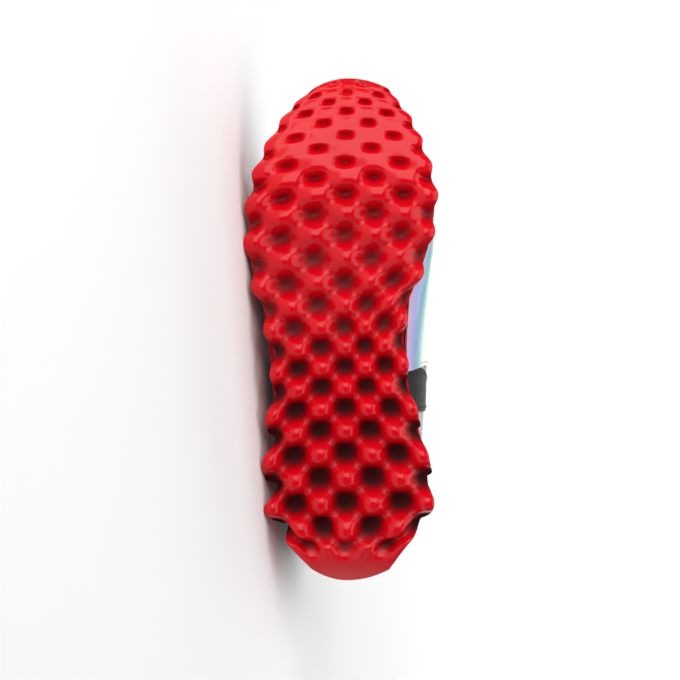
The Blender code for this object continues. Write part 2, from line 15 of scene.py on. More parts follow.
import bmesh
import bpy
import numpy as np
from mathutils import Matrix, Vector
from mathutils.bvhtree import BVHTree

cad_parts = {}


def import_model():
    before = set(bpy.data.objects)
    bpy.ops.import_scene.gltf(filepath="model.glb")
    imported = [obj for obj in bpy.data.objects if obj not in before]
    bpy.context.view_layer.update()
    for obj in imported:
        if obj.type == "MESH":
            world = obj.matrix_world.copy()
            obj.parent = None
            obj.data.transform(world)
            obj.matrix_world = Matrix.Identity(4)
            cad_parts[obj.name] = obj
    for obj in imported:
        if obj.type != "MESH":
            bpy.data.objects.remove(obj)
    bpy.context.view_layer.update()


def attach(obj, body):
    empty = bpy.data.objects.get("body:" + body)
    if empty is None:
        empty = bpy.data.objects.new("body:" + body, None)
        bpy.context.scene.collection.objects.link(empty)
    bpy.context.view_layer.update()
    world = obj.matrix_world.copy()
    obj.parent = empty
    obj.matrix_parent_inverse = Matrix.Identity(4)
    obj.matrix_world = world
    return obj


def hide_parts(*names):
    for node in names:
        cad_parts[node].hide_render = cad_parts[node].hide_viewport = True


log = logging.getLogger("trainer")

Colour = tuple[float, float, float]
Link = Union[float, tuple, "Number", bpy.types.NodeSocket]


def shaded(colour: Colour, share: float) -> Colour:
    """Give a share of a colour."""
    return tuple(share * channel for channel in colour)


class Side(Enum):
    """The two sides of the shoe, by the sign of y."""

    LATERAL = -1
    MEDIAL = 1


def smooth_through(
    knots: Sequence[float], values: Sequence[float], at: np.ndarray | float, period: float | None = None
) -> np.ndarray:
    """Run a cubic through values.

    Args:
        knots: where the values stand, rising.
        values: the value at each knot.
        at: where to read the curve.
        period: the curve's period, if it is closed. Otherwise it is monotone between its knots.

    Returns:
        The curve's value at each place.
    """
    knots = np.asarray(knots, float)
    values = np.asarray(values, float)
    if period:
        at = np.mod(at, period)
        knots = np.concatenate([knots[-2:] - period, knots, knots[:3] + period])
        values = np.concatenate([values[-2:], values, values[:3]])
    steps = np.diff(knots)
    slopes = np.diff(values) / steps
    tangents = np.empty_like(values)
    tangents[0], tangents[-1] = slopes[0], slopes[-1]
    tangents[1:-1] = (slopes[:-1] * steps[1:] + slopes[1:] * steps[:-1]) / (steps[1:] + steps[:-1])
    if not period:
        steepest = 3 * np.minimum(np.abs(slopes[:-1]), np.abs(slopes[1:]))
        turning = slopes[:-1] * slopes[1:] <= 0
        tangents[1:-1] = np.where(turning, 0, np.clip(tangents[1:-1], -steepest, steepest))
    cell = np.clip(np.searchsorted(knots, at, side="right") - 1, 0, len(steps) - 1)
    t = (at - knots[cell]) / steps[cell]
    return (
        values[cell] * (1 + 2 * t) * (1 - t) ** 2
        + values[cell + 1] * t**2 * (3 - 2 * t)
        + tangents[cell] * steps[cell] * t * (1 - t) ** 2
        - tangents[cell + 1] * steps[cell] * t**2 * (1 - t)
    )


def ease(value: np.ndarray, start: float, end: float) -> np.ndarray:
    """Rise smoothly from 0 at start to 1 at end."""
    t = np.clip((value - start) / (end - start), 0, 1)
    return t * t * (3 - 2 * t)


@dataclass(frozen=True)
class Table:
    """Rows of numbers under named columns."""

    columns: str
    rows: tuple[tuple[float, ...], ...]

    def column(self, name: str) -> list[float]:
        """Read one column."""
        index = self.columns.split().index(name)
        return [row[index] for row in self.rows]

    def has(self, name: str) -> bool:
        """Say whether the table has a column of that name."""
        return name in self.columns.split()


PLAN = Table(
    "row along lateral medial sweep_lateral sweep_medial"
    " notch_lateral notch_medial deck_lateral deck_medial rake",
    (
        (-1.2, 0.000, 0.177, 0.224, 0.026, 0.026, 0.0, 0.0, 0.183, 0.183, 0.0),
        (0.0, 0.058, 0.277, 0.315, 0.012, 0.018, 1.0, 1.0, 0.261, 0.261, 0.5),
        (1.0, 0.114, 0.365, 0.415, 0.000, 0.012, 7.8, 3.7, 0.296, 0.296, 4.5),
        (2.0, 0.160, 0.412, 0.454, -0.012, 0.004, 9.0, 4.2, 0.322, 0.322, 2.0),
        (4.0, 0.258, 0.423, 0.428, -0.018, -0.004, 8.0, 4.6, 0.343, 0.339, 2.2),
        (6.0, 0.346, 0.407, 0.370, -0.018, 0.000, 4.6, 4.6, 0.361, 0.318, 2.0),
        (8.0, 0.426, 0.386, 0.325, -0.013, 0.008, 3.6, 3.6, 0.378, 0.300, 1.8),
        (10.0, 0.504, 0.417, 0.318, -0.010, 0.016, 3.9, 3.9, 0.400, 0.300, 1.5),
        (12.0, 0.590, 0.480, 0.400, -0.012, 0.014, 4.6, 4.6, 0.430, 0.340, 0.8),
        (14.0, 0.682, 0.527, 0.459, -0.019, 0.002, 3.9, 3.9, 0.461, 0.400, 0.0),
        (16.0, 0.763, 0.517, 0.475, -0.024, -0.004, 3.1, 3.1, 0.452, 0.409, 0.0),
        (18.0, 0.826, 0.480, 0.443, -0.019, -0.005, 2.8, 2.8, 0.430, 0.400, 0.0),
        (20.0, 0.880, 0.417, 0.391, -0.016, -0.006, 2.6, 2.6, 0.383, 0.370, 0.0),
        (22.0, 0.930, 0.339, 0.334, -0.014, -0.012, 2.0, 2.0, 0.313, 0.313, 0.0),
        (24.0, 0.970, 0.262, 0.262, -0.018, -0.016, 1.3, 1.3, 0.235, 0.243, 0.0),
        (25.5, 1.000, 0.183, 0.214, -0.023, -0.023, 0.0, 0.0, 0.165, 0.174, 0.0),
    ),
)

HEEL_LUG = Table(
    "phase reach",
    (
        (0.00, 0.00),
        (0.10, 0.14),
        (0.26, 0.60),
        (0.38, 0.92),
        (0.48, 1.00),
        (0.86, 1.00),
        (0.94, 0.72),
        (1.00, 0.00),
    ),
)

SIDE_VIEW = Table(
    "along tip stud deck sharp",
    (
        (0.000, 0.62, 0.00, 1.00, 0.9),
        (0.027, 0.33, 0.22, 1.00, 0.9),
        (0.057, 0.14, 0.58, 1.00, 1.0),
        (0.100, 0.02, 0.86, 1.00, 1.0),
        (0.150, 0.00, 1.00, 1.00, 1.0),
        (0.233, 0.00, 1.00, 0.98, 1.0),
        (0.333, 0.00, 0.94, 0.92, 0.9),
        (0.417, 0.00, 0.82, 0.84, 0.8),
        (0.500, 0.00, 0.71, 0.77, 0.6),
        (0.583, 0.00, 0.62, 0.71, 0.3),
        (0.683, 0.02, 0.57, 0.68, 0.1),
        (0.767, 0.09, 0.54, 0.70, 0.1),
        (0.833, 0.24, 0.46, 0.78, 0.0),
        (0.893, 0.45, 0.33, 0.89, 0.0),
        (0.940, 0.67, 0.24, 0.98, 0.0),
        (0.973, 0.84, 0.13, 1.05, 0.0),
        (1.000, 1.00, 0.00, 1.10, 0.0),
    ),
)

LAST = Table(
    "at foot_x foot_lateral foot_medial wide_x wide_lateral wide_medial wide_rise"
    " shoulder_x shoulder_lateral shoulder_medial shoulder_rise edge_x edge_half edge_rise",
    (
        (0.00, 3.0, 0.0, 0.0, 1.2, 0.0, 0.0, 24.4, 2.3, 0.0, 0.0, 61.0, 4.0, 0.0, 87.8),
        (0.06, 4.0, 13.3, 13.3, 2.5, 14.8, 14.8, 24.4, 3.5, 13.3, 13.3, 60.0, 5.0, 11.4, 86.6),
        (0.12, 7.3, 23.8, 23.8, 6.3, 26.7, 26.7, 24.4, 6.8, 23.8, 23.8, 57.3, 7.3, 20.0, 80.5),
        (0.20, 14.0, 31.4, 31.4, 13.7, 36.2, 36.2, 24.4, 13.7, 32.9, 32.9, 50.0, 13.3, 27.1, 68.3),
        (0.30, 25.0, 35.2, 34.3, 25.0, 40.0, 41.4, 26.8, 24.0, 36.7, 37.6, 48.8, 22.3, 30.5, 62.8),
        (0.42, 38.3, 38.1, 35.2, 37.7, 43.3, 43.3, 29.3, 35.0, 39.0, 40.0, 57.3, 31.3, 28.1, 78.0),
        (0.50, 47.3, 41.0, 35.2, 46.7, 44.8, 43.8, 29.3, 42.0, 35.2, 36.2, 68.3, 37.3, 16.7, 100.0),
        (0.56, 54.3, 43.8, 36.7, 54.0, 47.1, 45.2, 25.6, 50.3, 35.7, 35.7, 62.2, 46.3, 14.3, 92.1),
        (0.62, 61.7, 46.7, 39.0, 61.3, 50.0, 47.1, 22.0, 58.7, 36.2, 34.8, 55.5, 55.7, 11.9, 79.9),
        (0.66, 66.3, 48.1, 41.4, 66.0, 51.4, 48.6, 19.5, 64.7, 36.2, 34.3, 50.6, 62.6, 10.0, 70.4),
        (0.70, 70.7, 48.6, 42.9, 70.7, 51.9, 49.0, 18.3, 70.3, 34.8, 33.3, 46.3, 67.6, 8.4, 62.8),
        (0.78, 78.7, 44.8, 41.4, 79.0, 48.1, 45.2, 16.5, 77.0, 30.0, 29.0, 42.0, 70.7, 6.8, 59.8),
        (0.85, 85.3, 37.6, 36.7, 85.8, 40.5, 39.5, 15.9, 81.3, 25.6, 25.4, 42.2, 71.3, 4.9, 59.4),
        (0.91, 90.7, 27.6, 28.6, 91.5, 30.0, 31.0, 15.2, 84.7, 19.0, 19.2, 41.8, 71.5, 2.9, 59.2),
        (0.96, 94.0, 15.2, 17.1, 95.2, 16.7, 18.6, 15.2, 86.5, 10.4, 10.7, 41.6, 71.6, 1.4, 59.1),
        (1.00, 95.5, 0.0, 0.0, 96.8, 0.0, 0.0, 15.2, 87.3, 0.0, 0.0, 41.5, 71.7, 0.0, 59.1),
    ),
)


@dataclass(frozen=True)
class Resting:
    """How the shoe lies: the floor's up direction and the place of the origin, in the shoe's frame."""

    up: tuple[float, float, float] = (0.078325, 0.988118, -0.132243)
    origin: tuple[float, float, float] = (0.149794, -0.060294, 0.044300)

    def turn(self) -> np.ndarray:
        """Give the rotation from the shoe's frame to the row's."""
        up = np.array(self.up) / np.linalg.norm(self.up)
        along = np.array((-1.0, 0.0, 0.0))
        along = along - along.dot(up) * up
        along /= np.linalg.norm(along)
        return np.array((along, np.cross(up, along), up))

    def lay(self, points: np.ndarray) -> np.ndarray:
        """Lay points of the shoe's frame on the floor, none of them below it."""
        laid = points @ self.turn().T + np.array(self.origin)
        laid[..., 2] = np.maximum(laid[..., 2], 0)
        return laid

    def place(self, point: Sequence[float]) -> Vector:
        """Give the place of a point of the shoe's frame, also one below the floor."""
        return Vector(np.array(point) @ self.turn().T + np.array(self.origin))

    def direction(self, vector: Sequence[float]) -> Vector:
        """Turn a direction of the shoe's frame into the row's."""
        return Vector(np.array(vector) @ self.turn().T)


RESTING = Resting()


class Number:
    """A number socket of a node tree that takes part in Python sums."""

    def __init__(self, tree: "Tree", socket: bpy.types.NodeSocket) -> None:
        """Wrap a socket of that tree."""
        self.tree = tree
        self.socket = socket

    def __add__(self, other: Link) -> "Number":
        """Add."""
        return self.tree.maths("ADD", self, other)

    __radd__ = __add__

    def __sub__(self, other: Link) -> "Number":
        """Subtract."""
        return self.tree.maths("SUBTRACT", self, other)

    def __rsub__(self, other: Link) -> "Number":
        """Subtract from a number."""
        return self.tree.maths("SUBTRACT", other, self)

    def __mul__(self, other: Link) -> "Number":
        """Multiply."""
        return self.tree.maths("MULTIPLY", self, other)

    __rmul__ = __mul__

    def __truediv__(self, other: Link) -> "Number":
        """Divide."""
        return self.tree.maths("DIVIDE", self, other)

    def __pow__(self, other: Link) -> "Number":
        """Raise to a power."""
        return self.tree.maths("POWER", self, other)

    def __abs__(self) -> "Number":
        """Drop the sign."""
        return self.tree.maths("ABSOLUTE", self)

    def sine(self) -> "Number":
        """Take the sine."""
        return self.tree.maths("SINE", self)

    def fraction(self) -> "Number":
        """Keep what follows the decimal point."""
        return self.tree.maths("FRACT", self)

    def between(self, start: float, end: float) -> "Number":
        """Rise smoothly from 0 at start to 1 at end."""
        node = self.tree.node(
            "ShaderNodeMapRange", {"interpolation_type": "SMOOTHSTEP"}, {0: self, 1: start, 2: end}
        )
        return Number(self.tree, node.outputs[0])


class Tree:
    """A node tree with one method that adds any node."""

    def __init__(self, tree: bpy.types.NodeTree) -> None:
        """Wrap an empty tree."""
        self.tree = tree

    def node(
        self, kind: str, settings: dict[str, Any] | None = None, inputs: dict[Any, Link] | None = None
    ) -> bpy.types.Node:
        """Add a node.

        Args:
            kind: the node's type.
            settings: what is set first, such as an operation, or the stops of a ramp.
            inputs: values or links by the socket's name or number.

        Returns:
            The node.
        """
        node = self.tree.nodes.new(kind)
        for name, value in (settings or {}).items():
            if name == "stops":
                self._set_stops(node, value)
            else:
                setattr(node, name, value)
        for key, value in (inputs or {}).items():
            self.feed(node.inputs[key], value)
        return node

    def feed(self, socket: bpy.types.NodeSocket, value: Link) -> None:
        """Set a socket to a value, or link it."""
        if isinstance(value, Number):
            self.tree.links.new(value.socket, socket)
        elif isinstance(value, bpy.types.NodeSocket):
            self.tree.links.new(value, socket)
        elif isinstance(value, tuple) and len(value) == 3 and socket.type == "RGBA":
            socket.default_value = (*value, 1)
        else:
            socket.default_value = value

    def maths(self, operation: str, *values: Link) -> Number:
        """Add a Math node on these values."""
        node = self.node("ShaderNodeMath", {"operation": operation}, dict(enumerate(values)))
        return Number(self, node.outputs[0])

    @staticmethod
    def _set_stops(node: bpy.types.Node, stops: Sequence[tuple[float, Colour]]) -> None:
        """Give a colour ramp its stops."""
        elements = node.color_ramp.elements
        while len(elements) < len(stops):
            elements.new(0.5)
        for element, (position, colour) in zip(elements, stops):
            element.position = position
            element.color = (*colour, 1)


class Finish(Tree):
    """A material: a Principled shader and what feeds it."""

    def __init__(self, name: str) -> None:
        """Start a material of that name."""
        self.material = bpy.data.materials.new(name)
        self.material.use_nodes = True
        super().__init__(self.material.node_tree)
        self.shader = self.tree.nodes["Principled BSDF"]

    def object_place(self) -> bpy.types.NodeSocket:
        """Give the place on the object, in metres."""
        return self.node("ShaderNodeTexCoord").outputs["Object"]

    def cloth_place(self) -> tuple[Number, Number, bpy.types.NodeSocket]:
        """Give the two lengths along the cloth, in metres, and both as a vector."""
        vector = self.node("ShaderNodeUVMap", {"uv_map": "cloth"}).outputs["UV"]
        split = self.node("ShaderNodeSeparateXYZ", None, {0: vector})
        return Number(self, split.outputs[0]), Number(self, split.outputs[1]), vector

    def attribute(self, name: str) -> Number:
        """Read a number that the mesh carries."""
        node = self.node("ShaderNodeAttribute", {"attribute_name": name})
        return Number(self, node.outputs["Fac"])

    def noise(self, place: Link, scale: float, detail: float = 2, roughness: float = 0.5) -> Number:
        """Add a noise from 0 to 1."""
        inputs = {"Vector": place, "Scale": scale, "Detail": detail, "Roughness": roughness}
        return Number(self, self.node("ShaderNodeTexNoise", None, inputs).outputs[0])

    def cells(self, place: Link, scale: float, feature: str = "F1") -> Number:
        """Add a Voronoi distance."""
        node = self.node("ShaderNodeTexVoronoi", {"feature": feature}, {"Vector": place, "Scale": scale})
        return Number(self, node.outputs["Distance"])

    def mix(self, share: Link, first: Link, second: Link) -> bpy.types.NodeSocket:
        """Blend two colours."""
        node = self.node("ShaderNodeMix", {"data_type": "RGBA"}, {0: share, 6: first, 7: second})
        return node.outputs[2]

    def ramp(self, value: Link, stops: Sequence[tuple[float, Colour]]) -> bpy.types.NodeSocket:
        """Read a colour off a ramp."""
        return self.node("ShaderNodeValToRGB", {"stops": stops}, {0: value}).outputs[0]

    def relief(self, height: Link, depth: float, strength: float = 1.0) -> None:
        """Feed the shader's normal with a bump of that depth in metres."""
        bump = self.node(
            "ShaderNodeBump", None, {"Strength": strength, "Distance": depth, "Height": height}
        )
        self.feed(self.shader.inputs["Normal"], bump.outputs[0])

    def dress(self, **sockets: Link) -> bpy.types.Material:
        """Set the shader's sockets, named with underscores for spaces, and hand the material over."""
        named = {socket.name.lower(): socket for socket in self.shader.inputs}
        for name, value in sockets.items():
            self.feed(named[name.replace("_", " ")], value)
        return self.material


@dataclass(frozen=True)
class RedRubber:
    """Glossy moulded rubber, with painted shade that darkens its colour down in its pits."""

    lit: Colour = (0.72, 0.001, 0.010)
    # Painted shade: the colour the rubber is darkened towards at the bottom of its pits.
    deep_painted_shade: Colour = (0.05, 0.0, 0.001)
    roughness: float = 0.10

    def build(self) -> bpy.types.Material:
        """Make the material."""
        finish = Finish("red_rubber")
        place = finish.object_place()
        # Painted shade: the mesh's shade value darkens the colour down in the pits, and also makes the rubber
        # rougher there.
        pit = finish.attribute("pit")
        cloud = finish.noise(place, 28, 3)
        tone = finish.mix(cloud.between(0.3, 0.75), self.lit, shaded(self.lit, 0.9))
        colour = finish.mix(pit.between(0.15, 1.0), tone, self.deep_painted_shade)
        finish.relief(finish.noise(place, 420, 2), 0.00006)
        gloss = self.roughness + 0.05 * cloud + 0.06 * pit + 0.70 * pit**2
        return finish.dress(base_color=colour, roughness=gloss, specular_ior_level=0.3)


@dataclass(frozen=True)
class SmoothRubber:
    """The same rubber on the plain side of the sole, a little duller."""

    colour: Colour = (0.58, 0.004, 0.014)

    def build(self) -> bpy.types.Material:
        """Make the material."""
        finish = Finish("smooth_rubber")
        place = finish.object_place()
        cloud = finish.noise(place, 22, 3)
        grain = finish.noise(place, 1500, 2)
        colour = finish.mix(cloud, self.colour, shaded(self.colour, 0.88))
        finish.relief(grain, 0.00008)
        return finish.dress(base_color=colour, roughness=0.3 + 0.1 * grain, coat_weight=0.15)


@dataclass(frozen=True)
class WhiteMesh:
    """White cloth with rows of small holes and a silvery thread."""

    name: str = "white_mesh"
    thread: Colour = (0.54, 0.55, 0.57)
    hole_shade: Colour = (0.30, 0.31, 0.34)
    pitch: float = 0.0030

    def build(self) -> bpy.types.Material:
        """Make the material."""
        finish = Finish(self.name)
        along, up, vector = finish.cloth_place()
        turns = 2 * math.pi / self.pitch
        first = ((along + up * 0.5) * turns).sine()
        second = ((along - up * 0.5) * turns).sine()
        holes = (first * second).between(0.35, 0.8)
        rib = 0.5 + 0.5 * (up * (turns * 2)).sine()
        fibre = finish.noise(vector, 2500, 2)
        tone = finish.mix(fibre.between(0.3, 0.8), self.thread, shaded(self.thread, 0.86))
        colour = finish.mix(holes * 0.8, tone, self.hole_shade)
        finish.relief((1 - holes) * 0.8 + rib * 0.12 + fibre * 0.2, 0.0004)
        return finish.dress(base_color=colour, roughness=0.55 + 0.25 * fibre, sheen_weight=0.15)


@dataclass(frozen=True)
class PearlFilm:
    """A pearly film whose colour runs from pink through blue, green and peach to mauve, its iridescent sheen
    painted in by place rather than by view.
    """

    name: str = "iridescent_film"
    # Painted sheen: the film's iridescent colours, laid out by place up and along the panel.
    sheen_bands: tuple[tuple[float, Colour], ...] = (
        (0.00, (0.66, 0.30, 0.46)),
        (0.16, (0.30, 0.31, 0.72)),
        (0.34, (0.26, 0.58, 0.74)),
        (0.50, (0.40, 0.68, 0.46)),
        (0.64, (0.72, 0.66, 0.36)),
        (0.80, (0.70, 0.40, 0.32)),
        (1.00, (0.42, 0.33, 0.46)),
    )
    band_height: float = 0.030
    start: float = 0.42

    def build(self) -> bpy.types.Material:
        """Make the material."""
        finish = Finish(self.name)
        along, up, vector = finish.cloth_place()
        drift = finish.noise(vector, 22, 2)
        sweep = (up / self.band_height + along + drift * 0.3 + self.start).fraction()
        # Painted sheen: the ramp gives the film's pearly tint with its iridescent sheen painted in, fixed by
        # place rather than by view.
        pearl_and_painted_sheen = finish.ramp(sweep, self.sheen_bands)
        grain = finish.noise(vector, 3000, 2)
        colour = finish.mix(0.15 + 0.12 * grain, pearl_and_painted_sheen, (0.60, 0.61, 0.64))
        finish.relief(grain + drift * 3, 0.00006)
        return finish.dress(
            base_color=colour, roughness=0.16 + 0.1 * grain, metallic=0.2, coat_weight=0.3,
            thin_film_thickness=380.0, thin_film_ior=1.45,
        )


@dataclass(frozen=True)
class Leather:
    """Fine-grained leather."""

    name: str = "black_leather"
    colour: Colour = (0.006, 0.006, 0.007)
    grain: float = 850
    mottle: float = 1.5

    def build(self) -> bpy.types.Material:
        """Make the material."""
        finish = Finish(self.name)
        place = finish.object_place()
        pebble = finish.cells(place, self.grain)
        cloud = finish.noise(place, 30, 3)
        patch = cloud.between(0.35, 0.7)
        colour = finish.mix(patch, self.colour, shaded(self.colour, self.mottle))
        finish.relief(pebble.between(0.0, 0.6) + cloud * 0.4, 0.00022)
        return finish.dress(base_color=colour, roughness=0.5 + 0.12 * pebble, specular_ior_level=0.2)


@dataclass(frozen=True)
class KnitLining:
    """Soft grey knit with fine ribs."""

    name: str = "grey_lining"
    colour: Colour = (0.30, 0.31, 0.34)
    pitch: float = 0.0014

    def build(self) -> bpy.types.Material:
        """Make the material."""
        finish = Finish(self.name)
        along, up, vector = finish.cloth_place()
        turns = 2 * math.pi / self.pitch
        rib = 0.5 + 0.5 * (along * turns).sine()
        loop = 0.5 + 0.5 * ((up + along * 0.5) * turns).sine()
        fuzz = finish.noise(vector, 1800, 3)
        # Painted shade: the knit is darker down between its ribs and loops, where the bump is low.
        colour = finish.mix(rib * loop, shaded(self.colour, 0.7), self.colour)
        finish.relief(rib * loop + fuzz * 0.5, 0.0003)
        return finish.dress(base_color=colour, roughness=0.9, sheen_weight=0.3, sheen_roughness=0.5)


@dataclass(frozen=True)
class WovenLace:
    """Flat lace, woven in a chevron."""

    name: str = "lace_cord"
    colour: Colour = (0.58, 0.58, 0.61)
    pitch: float = 0.0018

    def build(self) -> bpy.types.Material:
        """Make the material."""
        finish = Finish(self.name)
        along, across, vector = finish.cloth_place()
        turns = 2 * math.pi / self.pitch
        chevron = 0.5 + 0.5 * ((along + abs(across) * 0.8) * turns).sine()
        strand = 0.5 + 0.5 * (across * (turns * 1.3)).sine()
        fuzz = finish.noise(vector, 3000, 2)
        # Painted shade: the lace is darker down in the grooves of its chevron and between its strands, where
        # the bump is low.
        colour = finish.mix(chevron * 0.6 + strand * 0.2, shaded(self.colour, 0.72), self.colour)
        finish.relief(chevron + strand * 0.5 + fuzz * 0.3, 0.00035)
        return finish.dress(base_color=colour, roughness=0.8, sheen_weight=0.2)


@dataclass(frozen=True)
class SatinMetal:
    """The eyelets' brushed metal."""

    colour: Colour = (0.70, 0.71, 0.73)

    def build(self) -> bpy.types.Material:
        """Make the material."""
        finish = Finish("silver_metal")
        scuff = finish.noise(finish.object_place(), 900, 3)
        colour = finish.mix(scuff, self.colour, shaded(self.colour, 0.8))
        return finish.dress(base_color=colour, roughness=0.24 + 0.16 * scuff, metallic=1.0)


@dataclass(frozen=True)
class Thread:
    """Twisted sewing thread, or the dark painted shade inside an eyelet."""

    name: str
    colour: Colour
    roughness: float = 0.7

    def build(self) -> bpy.types.Material:
        """Make the material."""
        finish = Finish(self.name)
        twist = finish.noise(finish.object_place(), 1600, 2)
        colour = finish.mix(twist, self.colour, shaded(self.colour, 0.75))
        return finish.dress(base_color=colour, roughness=self.roughness)


@dataclass(frozen=True)
class StudioPaper:
    """The seamless white paper under and behind the shoe."""

    colour: Colour = (0.94, 0.94, 0.94)

    def build(self) -> bpy.types.Material:
        """Make the material."""
        finish = Finish("studio_paper")
        cloud = finish.noise(finish.object_place(), 3, 2)
        colour = finish.mix(cloud, self.colour, shaded(self.colour, 0.985))
        return finish.dress(base_color=colour, roughness=0.9)


@dataclass
class Finishes:
    """Every material of the shoe."""

    red_rubber: bpy.types.Material = field(default_factory=RedRubber().build)
    smooth_rubber: bpy.types.Material = field(default_factory=SmoothRubber().build)
    white_mesh: bpy.types.Material = field(default_factory=WhiteMesh().build)
    film: bpy.types.Material = field(default_factory=PearlFilm().build)
    black_leather: bpy.types.Material = field(default_factory=Leather().build)
    white_leather: bpy.types.Material = field(
        default_factory=Leather("white_leather", (0.54, 0.55, 0.57), 1100, 1.08).build
    )
    lining: bpy.types.Material = field(default_factory=KnitLining().build)
    sock_liner: bpy.types.Material = field(
        default_factory=KnitLining("sock_liner", (0.20, 0.205, 0.22), 0.002).build
    )
    lace: bpy.types.Material = field(default_factory=WovenLace().build)
    metal: bpy.types.Material = field(default_factory=SatinMetal().build)
    pale_thread: bpy.types.Material = field(default_factory=Thread("pale_thread", (0.62, 0.62, 0.65)).build)
    dark_thread: bpy.types.Material = field(default_factory=Thread("dark_thread", (0.05, 0.05, 0.055)).build)
    # Painted shade: the near-black that stands for the shade inside each eyelet.
    hole_shade: bpy.types.Material = field(
        default_factory=Thread("eyelet_hole_shade", (0.03, 0.03, 0.032), 0.9).build
    )
    paper: bpy.types.Material = field(default_factory=StudioPaper().build)


@dataclass
class Sheet:
    """A grid of points in the shoe's frame, with the two lengths that its cloth has there."""

    points: np.ndarray
    cloth: np.ndarray
    wrap: bool = False

    @classmethod
    def of(cls, points: np.ndarray, wrap: bool = False) -> "Sheet":
        """Measure a grid's cloth along its rows and columns."""
        closed = np.concatenate([points, points[:1]]) if wrap else points
        along = np.linalg.norm(np.diff(closed, axis=0), axis=2).mean(axis=1)
        up = np.linalg.norm(np.diff(closed, axis=1), axis=2).mean(axis=0)
        u = np.concatenate([[0], np.cumsum(along)])
        v = np.concatenate([[0], np.cumsum(up)])
        return cls(points, np.stack(np.meshgrid(u, v, indexing="ij"), -1), wrap)

    def faces(self) -> tuple[list[tuple[int, ...]], list[tuple[float, float]]]:
        """List the quads and, corner by corner, their cloth lengths."""
        rows, columns = self.points.shape[:2]
        quads, corners = [], []
        for i in range(rows if self.wrap else rows - 1):
            for j in range(columns - 1):
                ring = ((i, j), (i + 1, j), (i + 1, j + 1), (i, j + 1))
                quads.append(tuple((a % rows) * columns + b for a, b in ring))
                corners.extend(tuple(self.cloth[a, b]) for a, b in ring)
        return quads, corners


def place_in_scene(name: str, data: bpy.types.ID) -> bpy.types.Object:
    """Add an object with that data to the scene."""
    obj = bpy.data.objects.new(name, data)
    bpy.context.scene.collection.objects.link(obj)
    return obj


class Bench:
    """Makes finished mesh objects out of points in the shoe's frame."""

    smooth_angle = math.radians(40)

    @classmethod
    def mesh(
        cls,
        name: str,
        points: np.ndarray,
        faces: Sequence[Sequence[int]],
        material: bpy.types.Material | None,
        cloth: Sequence[tuple[float, float]] | None = None,
        edges: Sequence[tuple[int, int]] = (),
    ) -> bpy.types.Object:
        """Make an object.

        Args:
            name: its name.
            points: its points, in the shoe's frame.
            faces: its faces.
            material: what it is made of.
            cloth: the two lengths on the cloth for each face corner.
            edges: loose edges.

        Returns:
            The object, laid on the floor.
        """
        mesh = bpy.data.meshes.new(name)
        laid = RESTING.lay(np.asarray(points, float).reshape(-1, 3))
        mesh.from_pydata([tuple(point) for point in laid], list(edges), [tuple(face) for face in faces])
        mesh.update()
        if cloth is not None:
            layer = mesh.uv_layers.new(name="cloth")
            layer.data.foreach_set("uv", np.asarray(cloth, np.float32).ravel())
        obj = place_in_scene(name, mesh)
        if material:
            mesh.materials.append(material)
        if faces:
            mesh.shade_smooth()
        return obj

    @classmethod
    def sheet(cls, name: str, sheet: Sheet, material: bpy.types.Material) -> bpy.types.Object:
        """Make an open sheet."""
        quads, corners = sheet.faces()
        return cls.mesh(name, sheet.points, quads, material, corners)

    @classmethod
    def thicken(
        cls, obj: bpy.types.Object, thickness: float, outwards: bool, inside: bpy.types.Material | None = None
    ) -> None:
        """Give a sheet its wall, to one side of its faces.

        Args:
            obj: the sheet.
            thickness: the wall, in metres.
            outwards: on which side of the faces it grows.
            inside: what the far face is made of, if it differs.
        """
        wall = obj.modifiers.new("wall", "SOLIDIFY")
        wall.thickness = thickness
        wall.offset = 1 if outwards else -1
        wall.use_quality_normals = True
        if inside:
            obj.data.materials.append(inside)
            wall.material_offset = 1

    @classmethod
    def bake(cls, obj: bpy.types.Object, sharp: bool = True) -> bpy.types.Object:
        """Turn an object with modifiers into a plain mesh in its place."""
        graph = bpy.context.evaluated_depsgraph_get()
        mesh = bpy.data.meshes.new_from_object(obj.evaluated_get(graph), depsgraph=graph)
        old = obj.data
        obj.modifiers.clear()
        obj.data = mesh
        if old.users == 0:
            bpy.data.meshes.remove(old)
        mesh.name = obj.name
        mesh.shade_smooth()
        if sharp:
            mesh.set_sharp_from_angle(angle=cls.smooth_angle)
        return obj

    @staticmethod
    def outwards(obj: bpy.types.Object) -> None:
        """Turn the faces of closed pieces outwards."""
        shape = bmesh.new()
        shape.from_mesh(obj.data)
        bmesh.ops.remove_doubles(shape, verts=shape.verts, dist=1e-7)
        bmesh.ops.recalc_face_normals(shape, faces=shape.faces)
        shape.to_mesh(obj.data)
        shape.free()

    @staticmethod
    def fit(obj: bpy.types.Object, slot: str, *nodes: str) -> bpy.types.Object:
        """Let a finished piece ride on the shoe, and hide the nodes it stands for."""
        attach(obj, "root")
        if nodes:
            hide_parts(*nodes)
        log.info("%s: %d faces", obj.name, len(obj.data.polygons))
        return obj


